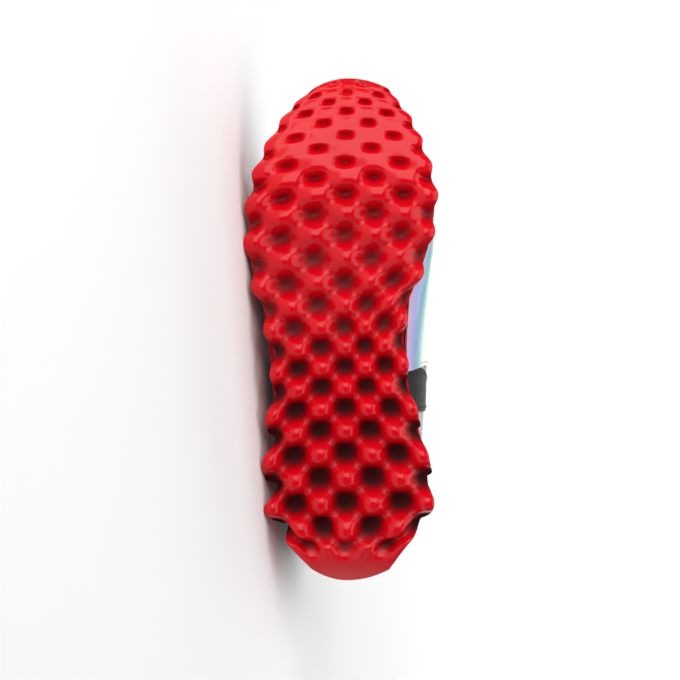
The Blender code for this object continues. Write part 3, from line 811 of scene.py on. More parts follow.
class Pattern(Tree):
    """A Geometry Nodes tree with named inputs, which repeats a small shape over its input geometry."""

    def __init__(self, name: str) -> None:
        """Start a tree that takes and gives geometry."""
        tree = bpy.data.node_groups.new(name, "GeometryNodeTree")
        super().__init__(tree)
        tree.interface.new_socket("Geometry", in_out="INPUT", socket_type="NodeSocketGeometry")
        tree.interface.new_socket("Geometry", in_out="OUTPUT", socket_type="NodeSocketGeometry")
        self.entry = self.node("NodeGroupInput")
        self.exit = self.node("NodeGroupOutput")
        self.sockets: dict[str, str] = {}

    def size(self, name: str, value: float) -> bpy.types.NodeSocket:
        """Add a named length."""
        item = self.tree.interface.new_socket(name, in_out="INPUT", socket_type="NodeSocketFloat")
        item.default_value = value
        self.sockets[name] = item.identifier
        return self.entry.outputs[name]

    def stuff(self, name: str) -> bpy.types.NodeSocket:
        """Add a named material."""
        item = self.tree.interface.new_socket(name, in_out="INPUT", socket_type="NodeSocketMaterial")
        self.sockets[name] = item.identifier
        return self.entry.outputs[name]

    def wrought(self, kind: str, **inputs: Link) -> bpy.types.NodeSocket:
        """Add a geometry node, its inputs named with underscores for spaces, and give what it makes."""
        named = {name.replace("_", " "): value for name, value in inputs.items()}
        return self.node(f"GeometryNode{kind}", None, named).outputs[0]

    def times(self, value: Link, factor: float) -> bpy.types.NodeSocket:
        """Scale a length."""
        return self.maths("MULTIPLY", value, factor).socket

    def towards(self, vector: Link) -> bpy.types.NodeSocket:
        """Turn the z axis towards a direction."""
        kind = "FunctionNodeAlignRotationToVector"
        return self.node(kind, {"axis": "Z"}, {"Vector": vector}).outputs[0]

    def close(self, copies: Link) -> None:
        """End the tree with these copies as real geometry."""
        self.feed(self.exit.inputs[0], self.wrought("RealizeInstances", Geometry=copies))

    def run(self, obj: bpy.types.Object, values: dict[str, Any]) -> bpy.types.Object:
        """Repeat the shape over an object, and leave a plain mesh."""
        modifier = obj.modifiers.new(self.tree.name, "NODES")
        modifier.node_group = self.tree
        for name, value in values.items():
            modifier[self.sockets[name]] = value
        return Bench.bake(obj)


class StitchPattern(Pattern):
    """A run of stitches along the edges of the input mesh."""

    def __init__(self) -> None:
        """Build the tree."""
        super().__init__("stitches")
        pitch = self.size("Pitch", 0.003)
        length = self.size("Stitch Length", 0.0022)
        radius = self.size("Thread Radius", 0.00035)
        stuff = self.stuff("Thread")
        curve = self.wrought("MeshToCurve", Mesh=self.entry.outputs["Geometry"])
        resample = {"Curve": curve, "Length": pitch}
        places = self.node("GeometryNodeResampleCurve", {"mode": "LENGTH"}, resample).outputs[0]
        turn = self.towards(self.node("GeometryNodeInputTangent").outputs[0])
        sizes = {0: radius, 1: radius, 2: self.times(length, 0.5)}
        scale = self.node("ShaderNodeCombineXYZ", None, sizes).outputs[0]
        bead = self.wrought("MeshUVSphere", Segments=6, Rings=4, Radius=1.0)
        dressed = self.wrought("SetMaterial", Geometry=bead, Material=stuff)
        self.close(
            self.wrought("InstanceOnPoints", Points=places, Instance=dressed, Rotation=turn, Scale=scale)
        )


class EyeletPattern(Pattern):
    """A rolled metal ring round a dark disc of painted shade in its hole at each point, facing along the
    point's facing attribute.
    """

    def __init__(self) -> None:
        """Build the tree."""
        super().__init__("eyelets")
        radius = self.size("Ring Radius", 0.0027)
        wire = self.size("Wire Radius", 0.0008)
        ring_stuff = self.stuff("Ring")
        hole_shade_stuff = self.stuff("Hole_Shade")
        named = {"Name": "facing"}
        facing = self.node("GeometryNodeInputNamedAttribute", {"data_type": "FLOAT_VECTOR"}, named)
        turn = self.towards(facing.outputs[0])
        path = self.wrought("CurvePrimitiveCircle", Resolution=20, Radius=radius)
        profile = self.wrought("CurvePrimitiveCircle", Resolution=8, Radius=wire)
        ring = self.wrought("CurveToMesh", Curve=path, Profile_Curve=profile)
        # Painted shade: a dark disc sunk in each ring stands for the shade down its hole.
        disc = self.wrought("MeshCylinder", Vertices=16, Radius=radius, Depth=wire)
        low = self.node("ShaderNodeCombineXYZ", None, {2: self.times(wire, -0.5)}).outputs[0]
        sunk = self.wrought("Transform", Geometry=disc, Translation=low)
        both = self.node("GeometryNodeJoinGeometry")
        for shape, stuff in ((ring, ring_stuff), (sunk, hole_shade_stuff)):
            self.feed(both.inputs[0], self.wrought("SetMaterial", Geometry=shape, Material=stuff))
        points = self.entry.outputs["Geometry"]
        self.close(self.wrought("InstanceOnPoints", Points=points, Instance=both.outputs[0], Rotation=turn))


@dataclass(frozen=True)
class SoleForm:
    """The sole's sizes in metres, and its surfaces by row of studs and place across."""

    length: float = 0.300
    width: float = 0.115
    heel_stack: float = 0.034
    toe_spring: float = 0.032
    stud: float = 0.014
    web: float = 0.003
    edge_column: float = 3.2
    notch_column: float = 2.0
    roll_column: float = 2.6
    edge_roll: float = 0.45
    heel_edge_roll: float = 0.12
    heel_rim: float = 0.0110
    heel_step: float = 0.0150
    dish: float = 0.0006
    dish_radius: float = 0.16
    ball_deeper: float = 0.25
    toe_deeper: float = 0.6
    toe_dome: float = 0.12
    plateau: float = 0.85
    toe_plateau: float = 1.10
    bowl: float = 1.70
    lip: float = 0.00035
    lip_place: float = -0.22
    lip_width: float = 0.13
    broadening: tuple[float, float] = (0.54, 0.92)
    ball_rise: tuple[float, float] = (0.50, 0.60)
    ball_fall: tuple[float, float] = (0.86, 0.74)
    toe_rise: tuple[float, float] = (0.86, 0.95)
    dish_from: tuple[float, float] = (0.012, 0.016)
    rake_from: tuple[float, float] = (0.010, 0.016)
    # Painted shade: the depth of the pits at which the painted shade is full.
    full_shade_depth: float = 0.0105

    def plan(self, name: str, row: np.ndarray | float) -> np.ndarray:
        """Read a column of the plan at these rows of studs."""
        return smooth_through(PLAN.column("row"), PLAN.column(name), row)

    def side(self, name: str, x: np.ndarray | float) -> np.ndarray:
        """Read a column of the side view at these places along the shoe."""
        return smooth_through(SIDE_VIEW.column("along"), SIDE_VIEW.column(name), x / self.length)

    def stretch(self, x: np.ndarray, shares: tuple[float, float]) -> np.ndarray:
        """Go smoothly from 0 to 1 between two shares of the length."""
        return ease(x, shares[0] * self.length, shares[1] * self.length)

    def tip_height(self, x: np.ndarray) -> np.ndarray:
        """Give the height of the stud tips."""
        return self.toe_spring * self.side("tip", x)

    def stud_depth(self, x: np.ndarray) -> np.ndarray:
        """Give the depth of the pits between the studs."""
        return self.stud * self.side("stud", x)

    def web_top(self, x: np.ndarray) -> np.ndarray:
        """Give the height of the top of the outsole."""
        return self.tip_height(x) + self.stud_depth(x) + self.web

    def deck(self, x: np.ndarray) -> np.ndarray:
        """Give the height of the deck under the foot."""
        return self.heel_stack * self.side("deck", x)

    def by_side(self, across: np.ndarray, name: str, row: np.ndarray) -> np.ndarray:
        """Read the lateral or the medial one of two columns."""
        return np.where(across < 0, self.plan(f"{name}lateral", row), self.plan(f"{name}medial", row))

    def row_x(self, row: np.ndarray, across: np.ndarray, first: float, last: float) -> np.ndarray:
        """Give the place along the shoe, with each row bowed by its sweep."""
        sweep = self.by_side(across, "sweep_", row)
        return first + (last - first) * self.plan("along", row) + self.length * sweep * across**2

    def lobe(self, row: np.ndarray) -> np.ndarray:
        """Rise to 1 at a side stud and fall to 0 at a notch, steeply on the heel's side at the heel."""
        even = 0.5 + 0.5 * np.cos(math.pi * row)
        phase = np.mod((3 - row) / 2, 1)
        steep = smooth_through(HEEL_LUG.column("phase"), HEEL_LUG.column("reach"), phase)
        share = ease(row, 8, 4)
        return share * steep + (1 - share) * even

    def notch(self, row: np.ndarray, across: np.ndarray) -> np.ndarray:
        """Give how far the notches reach in from the tips of the side studs."""
        return self.by_side(across, "notch_", row) / 1000

    def notch_half(self, row: np.ndarray, across: np.ndarray) -> np.ndarray:
        """Give half the sole's width along the bottoms of its notches."""
        return self.width * self.by_side(across, "", row) - self.notch(row, across)

    def relief(self, wave: np.ndarray, sharp: np.ndarray, broad: np.ndarray) -> np.ndarray:
        """Shape the studs.

        Args:
            wave: from -1 in the middle of a hollow between studs to 1 on top of a stud.
            sharp: 1 where the studs stand apart with square pits, 0 where they roll.
            broad: 1 where the studs have grown together into a plateau with small pits.

        Returns:
            The height, from 0 to 1.
        """
        steep = wave * np.where(wave > 0, 1.5 - 0.5 * wave, 1.5 - 0.5 * wave**2)
        square = 0.5 + 0.5 * ((1 - sharp) * wave + sharp * steep)
        rim = self.plateau - self.toe_plateau * ease(broad, 0.4, 1.0)
        bowl = 1 - np.clip(1 - (wave + 1) / (1 + rim), 0, 1) ** self.bowl
        bowl = bowl - self.toe_dome * (0.5 - 0.5 * wave)
        return (1 - broad) * square + broad * bowl

    def studded_point(self, row: np.ndarray, across: np.ndarray) -> tuple[np.ndarray, np.ndarray]:
        """Give points of the studded face.

        Args:
            row: the rows of studs.
            across: from -1 at the lateral edge to 1 at the medial one.

        Returns:
            The points, and the painted shade of each, dark down in the pits, from 0 to 1.
        """
        columns = across * self.edge_column
        x = self.row_x(row, across, 0, self.length)
        half = self.width * self.by_side(across, "", row)
        edge = np.clip((abs(columns) - self.notch_column) / (self.edge_column - self.notch_column), 0, 1)
        y = across * half - np.sign(across) * self.notch(row, across) * (1 - self.lobe(row)) * edge**2
        wave = -np.cos(math.pi * columns) * np.cos(math.pi * row)
        sharp = self.side("sharp", x)
        broad = self.stretch(x, self.broadening)
        roll = np.clip((abs(columns) - self.roll_column) / (self.edge_column - self.roll_column), 0, 1)
        rolled = self.edge_roll + (self.heel_edge_roll - self.edge_roll) * sharp
        height = self.relief(wave, sharp, broad) * (1 - rolled * roll**2)
        depth = self.stud_depth(x) * ease(x, self.heel_rim, self.heel_rim + self.heel_step)
        ball = self.stretch(x, self.ball_rise) * self.stretch(x, self.ball_fall)
        toe = self.stretch(x, self.toe_rise)
        depth = depth * (1 + self.ball_deeper * ball + self.toe_deeper * toe)
        z = self.tip_height(x) + depth * (1 - height)
        from_tip = np.sqrt(np.clip(1 - wave, 0, None) * 2) / math.pi
        dish = self.dish * (0.25 + 0.75 * sharp) * (1 - broad) * ease(x, *self.dish_from)
        z = z + dish * np.exp(-((from_tip / self.dish_radius) ** 2)) * (1 - roll)
        ring = np.exp(-(((wave - self.lip_place) / self.lip_width) ** 2))
        z = z - self.lip * broad**3 * ring * (1 - roll)
        x = x - self.plan("rake", row) / 1000 * height * ease(x, *self.rake_from)
        # Painted shade: the colour darkens the lower a point sits in the pits, and more so where the pits are
        # sunk further.
        deep_painted_shade = np.clip(depth / self.full_shade_depth, 0, 1) * (0.72 + 0.28 * sharp)
        shade = np.clip(1 - height, 0, 1) ** 1.3 * deep_painted_shade
        return np.stack([x, y, z], -1), shade


SOLE = SoleForm()


@dataclass(frozen=True)
class LastForm:
    """The upper's sizes in metres, and its outer face by station round the foot and level up the profile."""

    width: float = 0.105
    rise: float = 0.082
    gap: float = 0.0003
    crease_depth: float = 0.0007
    crease_width: float = 0.0035
    creases: tuple[float, ...] = (0.700, 0.735)

    def column(self, name: str, station: np.ndarray) -> np.ndarray:
        """Read a column of the last at stations from 0 to 2, up the lateral side and back."""
        at = LAST.column("at")
        knots = at + [2 - value for value in at[-2:0:-1]]
        if LAST.has(f"{name}_lateral"):
            numbers = [-value for value in LAST.column(f"{name}_lateral")]
            numbers += LAST.column(f"{name}_medial")[-2:0:-1]
        elif name == "edge":
            half = LAST.column("edge_half")
            numbers = [-value for value in half] + half[-2:0:-1]
        else:
            numbers = LAST.column(name)
            numbers = numbers + numbers[-2:0:-1]
        return smooth_through(knots, numbers, station, period=2) / 100

    def smooth_point(self, station: np.ndarray | float, level: np.ndarray | float) -> np.ndarray:
        """Give a point of the outer face without its creases."""
        station, level = np.broadcast_arrays(np.asarray(station, float), np.asarray(level, float))
        chain = []
        for place in ("foot", "wide", "shoulder", "edge"):
            x = SOLE.length * self.column(f"{place}_x", station)
            y = self.width * self.column(place, station)
            rise = 0 if place == "foot" else self.rise * self.column(f"{place}_rise", station)
            chain.append(np.stack([x, y, SOLE.deck(x) + self.gap + rise], -1))
        spans = [np.linalg.norm(b - a, axis=-1) for a, b in zip(chain, chain[1:])]
        total = sum(spans)
        knots = [0 * total, spans[0] / total, (spans[0] + spans[1]) / total, total / total]
        result = np.zeros(station.shape + (3,))
        for i, point in enumerate(chain):
            weight = np.ones(station.shape)
            for j, knot in enumerate(knots):
                if j != i:
                    weight = weight * (level - knot) / (knots[i] - knot)
            result = result + weight[..., None] * point
        return result

    def normal(self, station: np.ndarray | float, level: np.ndarray | float) -> np.ndarray:
        """Give the outward direction."""
        step = 1e-3
        level = np.clip(level, 0, 1)
        along = self.smooth_point(station + step, level) - self.smooth_point(station - step, level)
        above = self.smooth_point(station, np.minimum(level + step, 1))
        up = above - self.smooth_point(station, np.maximum(level - step, 0))
        normal = np.cross(along, up)
        return normal / np.linalg.norm(normal, axis=-1, keepdims=True)

    def crease(self, points: np.ndarray) -> np.ndarray:
        """Give how far the flex creases across the toes sink at these points."""
        share = points[..., 0] / SOLE.length
        lean = 0.10 * np.abs(points[..., 1]) / SOLE.length
        high = ease(points[..., 2], SOLE.heel_stack + 0.012, SOLE.heel_stack + 0.030)
        sunk = np.zeros(share.shape)
        for place in self.creases:
            offset = (share + lean - place - 0.02) * SOLE.length
            sunk = sunk + np.exp(-((offset / self.crease_width) ** 2))
        return self.crease_depth * sunk * high

    def point(
        self, station: np.ndarray | float, level: np.ndarray | float, distance: float = 0
    ) -> np.ndarray:
        """Give a point that far outside the outer face."""
        base = self.smooth_point(station, level)
        lift = distance - self.crease(base)
        return base + lift[..., None] * self.normal(station, level)

    def grid(self, stations: np.ndarray, levels: np.ndarray, distance: float, wrap: bool = False) -> Sheet:
        """Give a sheet that far outside the outer face."""
        return Sheet.of(self.point(stations[:, None], levels[None, :], distance), wrap)


LAST_FORM = LastForm()


def ring_of_rows(first: float, last: float, count: int) -> tuple[np.ndarray, np.ndarray]:
    """Walk round the sole from the middle of the heel, up the lateral side and back down the medial one.

    Args:
        first: the heel's row of studs.
        last: the toe's row.
        count: points on each of the long sides.

    Returns:
        The rows and the places across.
    """
    end = max(count // 8, 6)
    rise = np.linspace(0, 1, end, endpoint=False)
    rows = np.concatenate([np.full(end, first), np.linspace(first, last, count), np.full(end, last)])
    across = np.concatenate([-rise, np.full(count, -1.0), -(1 - (rise + 1 / end))])
    back_rows = rows[-2:0:-1]
    back_across = -across[-2:0:-1]
    return np.concatenate([rows, back_rows]), np.concatenate([across, back_across])


def ring_strips(size: int, start: int, upward: bool) -> list[tuple[int, ...]]:
    """Fill a ring that is listed from the heel's middle up one side and down the other.

    Args:
        size: how many points the ring has.
        start: the number of its first point.
        upward: whether the faces look up.

    Returns:
        The faces.
    """
    half = size // 2
    faces: list[tuple[int, ...]] = []
    for i in range(half):
        a, b = i, i + 1
        c, d = (size - b) % size, (size - a) % size
        face = tuple(dict.fromkeys(start + k for k in (a, b, c, d)))
        if len(face) > 2:
            faces.append(face if upward else face[::-1])
    return faces


def slab_faces(rings: int, size: int) -> list[tuple[int, ...]]:
    """List the faces of a closed slab of rings that stand on one another."""
    faces: list[tuple[int, ...]] = []
    for i in range(rings - 1):
        for j in range(size):
            a, b = i * size + j, i * size + (j + 1) % size
            faces.append((a, b, b + size, a + size))
    return faces + ring_strips(size, 0, False) + ring_strips(size, (rings - 1) * size, True)


@dataclass
class Outsole:
    """The studded red rubber."""

    finishes: Finishes
    samples: int = 18
    wall_point: tuple[float, float, float] = (0.45, 0.09, 0.45)
    top_inset: float = 0.0015
    wall_steps: int = 7

    def build(self) -> bpy.types.Object:
        """Build the closed moulding and hand it over."""
        first, last = PLAN.rows[0][0], PLAN.rows[-1][0]
        rows = np.linspace(first, last, round((last - first) * self.samples) + 1)
        columns = round(SOLE.edge_column * self.samples)
        across = np.linspace(-1, 1, 2 * columns + 1)
        points, pit = SOLE.studded_point(rows[:, None], across[None, :])
        sheet = Sheet.of(points)
        faces, _ = sheet.faces()
        faces = [face[::-1] for face in faces]
        count_rows, count_columns = points.shape[:2]
        border = self._border(count_rows, count_columns)
        foot = points.reshape(-1, 3)[border]
        border_rows = rows[border // count_columns]
        border_across = across[border % count_columns]
        top_x = SOLE.row_x(border_rows, border_across, 0, SOLE.length)
        top_y = border_across * (SOLE.notch_half(border_rows, border_across) - self.top_inset)
        top = np.stack([top_x, top_y, SOLE.web_top(top_x)], -1)
        middle = foot + np.array(self.wall_point) * (top - foot)
        everything = [points.reshape(-1, 3)]
        # Painted shade: a shade value for each point, dark down in the pits, fading out up the side wall.
        depth = [pit.ravel()]
        previous = border
        number = count_rows * count_columns
        for step in range(1, self.wall_steps + 1):
            t = step / self.wall_steps
            ring = (1 - t) ** 2 * foot + 2 * t * (1 - t) * middle + t**2 * top
            everything.append(ring)
            depth.append(pit.ravel()[border] * (1 - t) * 0.6)
            current = number + np.arange(len(border))
            follow, chase = np.roll(previous, -1), np.roll(current, -1)
            faces += [tuple(face) for face in np.stack([previous, follow, chase, current], -1)]
            previous = current
            number += len(border)
        faces += ring_strips(len(border), number - len(border), True)
        obj = Bench.mesh("outsole_rubber", np.concatenate(everything), faces, self.finishes.red_rubber)
        # The painted shade goes on the mesh for the rubber's colour.
        shade = obj.data.attributes.new("pit", "FLOAT", "POINT")
        shade.data.foreach_set("value", np.concatenate(depth).astype(np.float32))
        Bench.outwards(obj)
        return Bench.fit(obj, "red_rubber", "outsole")

    @staticmethod
    def _border(rows: int, columns: int) -> np.ndarray:
        """List the border of a grid from the heel's middle, up the lateral side, and back."""
        middle = columns // 2
        heel = list(range(middle, 0, -1))
        lateral = [i * columns for i in range(rows - 1)]
        toe = [(rows - 1) * columns + j for j in range(columns - 1)]
        medial = [i * columns + columns - 1 for i in range(rows - 1, 0, -1)]
        rest = list(range(columns - 1, middle, -1))
        return np.array(heel + lateral + toe + medial + rest)


@dataclass
class Midsole:
    """The smooth red carrier between the studs and the upper."""

    finishes: Finishes
    foot_inset: float = 0.003
    heel_inset: float = 0.004
    toe_inset: float = 0.005
    gap: float = 0.0005
    side_points: int = 150
    rim_radius: float = 0.0025
    groove_depth: float = 0.0008
    groove_place: float = 0.66
    groove_width: float = 0.03
    bulge: float = 0.0006
    underlap: float = 0.004
    wall_levels: tuple[float, ...] = (0.0, 0.12, 0.3, 0.5, 0.62, 0.66, 0.70, 0.8, 1.0)
    rim_turns: tuple[float, ...] = (0.35, 0.7, 1.0)
    soft_passes: int = 12

    def build(self) -> bpy.types.Object:
        """Build the closed slab and hand it over."""
        first, last = PLAN.rows[0][0], PLAN.rows[-1][0]
        row, across = ring_of_rows(first, last, self.side_points)
        x = SOLE.row_x(row, across, self.heel_inset, SOLE.length - self.toe_inset)
        foot_y = across * (SOLE.notch_half(row, across) - self.foot_inset)
        rim_y = across * SOLE.width * SOLE.by_side(across, "deck_", row)
        foot = np.stack([x, foot_y, SOLE.web_top(x) + self.gap], -1)
        rim = np.stack([x, rim_y, SOLE.deck(x)], -1)
        foot, rim = (self._soften(ring) for ring in (foot, rim))
        tangent = np.roll(foot, -1, axis=0) - np.roll(foot, 1, axis=0)
        outward = np.stack([-tangent[:, 1], tangent[:, 0], 0 * tangent[:, 0]], -1)
        outward /= np.linalg.norm(outward, axis=1, keepdims=True)
        rings = [foot - self.underlap * outward]
        wall = np.linalg.norm(rim - foot, axis=1, keepdims=True)
        radius = np.minimum(self.rim_radius, 0.2 * wall) / wall
        for share in self.wall_levels:
            level = share * (1 - radius)
            bulge = self.bulge * math.sin(math.pi * share)
            groove = self.groove_depth * math.exp(-(((share - self.groove_place) / self.groove_width) ** 2))
            rings.append(foot + level * (rim - foot) + (bulge - groove) * outward)
        for angle in self.rim_turns:
            lift = math.sin(angle * math.pi / 2)
            inwards = 1 - math.cos(angle * math.pi / 2)
            base = foot + (1 - radius * (1 - lift)) * (rim - foot)
            rings.append(base - inwards * radius * wall * outward)
        faces = slab_faces(len(rings), len(foot))
        obj = Bench.mesh("midsole_carrier", np.concatenate(rings), faces, self.finishes.smooth_rubber)
        Bench.outwards(obj)
        obj.data.set_sharp_from_angle(angle=Bench.smooth_angle)
        return Bench.fit(obj, "red_rubber", "midsole")

    def _soften(self, ring: np.ndarray) -> np.ndarray:
        """Round the corners where the sides meet the ends."""
        for _ in range(self.soft_passes):
            ring = 0.5 * ring + 0.25 * (np.roll(ring, 1, axis=0) + np.roll(ring, -1, axis=0))
        return ring


@dataclass
class SockLiner:
    """The insole that shows through the collar."""

    finishes: Finishes
    thickness: float = 0.004
    inset: float = 0.0026
    stations: int = 120
    edge: tuple[tuple[float, float], ...] = ((0.0, 0.55), (0.012, 0.85), (0.03, 1.0))

    def build(self) -> bpy.types.Object:
        """Build the liner and hand it over."""
        ring = np.arange(self.stations) * 2 / self.stations
        base = LAST_FORM.point(ring, 0.0, -self.inset)
        base[:, 2] = SOLE.deck(base[:, 0]) + LAST_FORM.gap
        middle = np.array([0.5 * SOLE.length, 0, 0])
        rings = [base]
        for share, lift in self.edge:
            step = base + share * (middle - base) * np.array([0.4, 1, 0])
            step[:, 2] = SOLE.deck(step[:, 0]) + LAST_FORM.gap + lift * self.thickness
            rings.append(step)
        faces = slab_faces(len(rings), len(base))
        points = np.concatenate(rings)
        cloth = [tuple(points[k][:2]) for face in faces for k in face]
        obj = Bench.mesh("sock_liner", points, faces, self.finishes.sock_liner, cloth)
        Bench.outwards(obj)
        obj.data.set_sharp_from_angle(angle=Bench.smooth_angle)
        return Bench.fit(obj, "grey_lining", "insole")


@dataclass
class Overlay:
    """A panel laid over the upper, cut to an outline that is drawn in the side view."""

    name: str
    outline: tuple[tuple[float, float], ...]
    material: bpy.types.Material
    slot: str
    nodes: tuple[str, ...]
    sides: tuple[Side, ...] = (Side.LATERAL, Side.MEDIAL)
    base: float = 0.0003
    thickness: float = 0.0012
    foot: float = 0.03
    stations: int = 240
    levels: int = 34
    longest_step: float = 0.012

    def curve(self, inset: float = 0, steps: int = 10) -> np.ndarray:
        """Give the outline as a smooth closed curve of (x, z), moved inwards by the inset."""
        knots = np.array(self.outline, float)
        count = len(knots)
        at = np.arange(count * steps) / steps
        x = SOLE.length / 100 * smooth_through(np.arange(count), knots[:, 0], at, count)
        z = SOLE.heel_stack + LAST_FORM.rise / 100 * smooth_through(np.arange(count), knots[:, 1], at, count)
        curve = np.stack([x, z], -1)
        if inset:
            tangent = np.roll(curve, -1, axis=0) - np.roll(curve, 1, axis=0)
            normal = np.stack([-tangent[:, 1], tangent[:, 0]], -1)
            normal /= np.linalg.norm(normal, axis=1, keepdims=True)
            area = np.sum(curve[:, 0] * np.roll(curve[:, 1], -1) - np.roll(curve[:, 0], -1) * curve[:, 1])
            curve = curve + inset * normal * (1 if area > 0 else -1)
        return curve

    def build(self) -> bpy.types.Object:
        """Cut the panel from a sheet over the upper, and hand it over."""
        ring = np.arange(self.stations) * 2 / self.stations
        levels = np.linspace(self.foot, 1, self.levels)
        obj = Bench.sheet(self.name, LAST_FORM.grid(ring, levels, self.base, wrap=True), self.material)
        Bench.thicken(obj, self.thickness, True)
        curve = self.curve()
        size = len(curve)
        reach = LAST_FORM.width
        low = -reach if Side.LATERAL in self.sides else 0
        high = reach if Side.MEDIAL in self.sides else 0
        corners = [(x, y, z) for y in (low, high) for x, z in curve]
        faces = [tuple(range(size)), tuple(range(2 * size - 1, size - 1, -1))]
        faces += [(i, i + size, (i + 1) % size + size, (i + 1) % size) for i in range(size)]
        cutter = Bench.mesh(f"{self.name}_cutter", np.array(corners), faces, None)
        Bench.outwards(cutter)
        cut = obj.modifiers.new("outline", "BOOLEAN")
        cut.operation = "INTERSECT"
        cut.object = cutter
        Bench.bake(obj)
        bpy.data.objects.remove(cutter)
        self._clean(obj)
        return Bench.fit(obj, self.slot, *self.nodes)

    @staticmethod
    def _clean(obj: bpy.types.Object) -> None:
        """Merge slivers that the cut leaves, and press the panel on to the floor."""
        shape = bmesh.new()
        shape.from_mesh(obj.data)
        bmesh.ops.remove_doubles(shape, verts=shape.verts, dist=2e-5)
        bmesh.ops.dissolve_degenerate(shape, edges=shape.edges, dist=1e-5)
        for vertex in shape.verts:
            vertex.co.z = max(vertex.co.z, 0)
        shape.to_mesh(obj.data)
        shape.free()
        obj.data.set_sharp_from_angle(angle=Bench.smooth_angle)

    def stitch_lines(self, probe: "Probe", inset: float) -> list[np.ndarray]:
        """Give the stitch lines inside the panel's edge, in the row's frame, one for each unbroken run."""
        lines = []
        curve = self.curve(inset)
        closed = np.concatenate([curve, curve[:1]])
        for side in self.sides:
            run: list[Vector] = []
            for x, z in closed:
                hit = probe.touch(x, z, side)
                if hit is not None:
                    run.append(hit)
                if hit is None or (len(run) > 1 and (run[-1] - run[-2]).length > self.longest_step):
                    kept = run if hit is None else run[:-1]
                    if len(kept) > 2:
                        lines.append(np.array(kept))
                    run = [] if hit is None else [hit]
            if len(run) > 2:
                lines.append(np.array(run))
        return lines


class Probe:
    """Finds places on the outside of the overlays from the shoe's side view."""

    stations = 360
    levels = (0.04, 0.985, 60)
    reach = 0.2

    def __init__(self, distance: float) -> None:
        """Spread a fine sheet that far outside the upper."""
        ring = np.arange(self.stations) * 2 / self.stations
        levels = np.linspace(*self.levels)
        sheet = LAST_FORM.grid(ring, levels, distance, wrap=True)
        quads, _ = sheet.faces()
        laid = RESTING.lay(sheet.points.reshape(-1, 3))
        self.tree = BVHTree.FromPolygons([Vector(point) for point in laid], quads)

    def touch(self, x: float, z: float, side: Side) -> Vector | None:
        """Find the place on one side of the shoe at this x and z of the side view."""
        start = RESTING.place((x, side.value * self.reach, z))
        towards = RESTING.direction((0, -side.value, 0))
        return self.tree.ray_cast(start, towards, self.reach)[0]


@dataclass
class Upper:
    """The hollow cloth shell with its padded collar."""

    finishes: Finishes
    wall: float = 0.002
    stations: int = 300
    levels: int = 44
    collar: tuple[float, float] = (1.530, 2.470)
    collar_rows: int = 200
    collar_turns: int = 20
    taper: float = 0.05
    half_wide: float = 0.0030
    half_tall: float = 0.0072
    drop: float = 0.0052
    gap: float = 0.0003

    def build(self) -> None:
        """Build the shell and the collar."""
        ring = np.arange(self.stations) * 2 / self.stations
        levels = np.linspace(0, 1, self.levels)
        sheet = LAST_FORM.grid(ring, levels, 0, wrap=True)
        obj = Bench.sheet("upper_shell", sheet, self.finishes.white_mesh)
        Bench.thicken(obj, self.wall, False, inside=self.finishes.lining)
        Bench.bake(obj)
        Bench.fit(obj, "white_mesh", "upper")
        self._collar()

    def _collar(self) -> None:
        """Build the padded roll inside the topline, from one end of the throat round the heel."""
        first, last = self.collar
        stations = np.linspace(first, last, self.collar_rows)
        taper = np.clip(np.minimum(stations - first, last - stations) / self.taper, 0.02, 1) ** 0.5
        turns = np.linspace(0, 2 * math.pi, self.collar_turns, endpoint=False)
        rows = []
        for station, share in zip(stations, taper):
            top = LAST_FORM.point(station, 1.0, 0.0)
            below = LAST_FORM.point(station, 0.86, 0.0)
            inward = -LAST_FORM.normal(station, 0.95)
            upward = (top - below) / np.linalg.norm(top - below)
            half_wide = self.half_wide * share
            half_tall = self.half_tall * share
            centre = top - self.drop * upward + (self.wall + self.gap + self.half_wide) * inward
            sin, cos = np.sin(turns), np.cos(turns)
            square = np.sign(cos) * np.abs(cos) ** 0.8
            rows.append(centre + square[:, None] * half_wide * inward + sin[:, None] * half_tall * upward)
        points = np.array(rows)
        closed = np.concatenate([points, points[:, :1]], axis=1)
        sheet = Sheet.of(closed)
        quads, corners = sheet.faces()
        size = points.shape[1]
        faces = [tuple(k // (size + 1) * size + k % (size + 1) % size for k in quad) for quad in quads]
        ends = [tuple(range(size)), tuple((len(points) - 1) * size + k for k in range(size - 1, -1, -1))]
        corners = list(corners) + [(0.0, 0.0)] * (2 * size)
        obj = Bench.mesh("collar_padding", points, faces + ends, self.finishes.lining, corners)
        Bench.outwards(obj)
        Bench.fit(obj, "grey_lining")


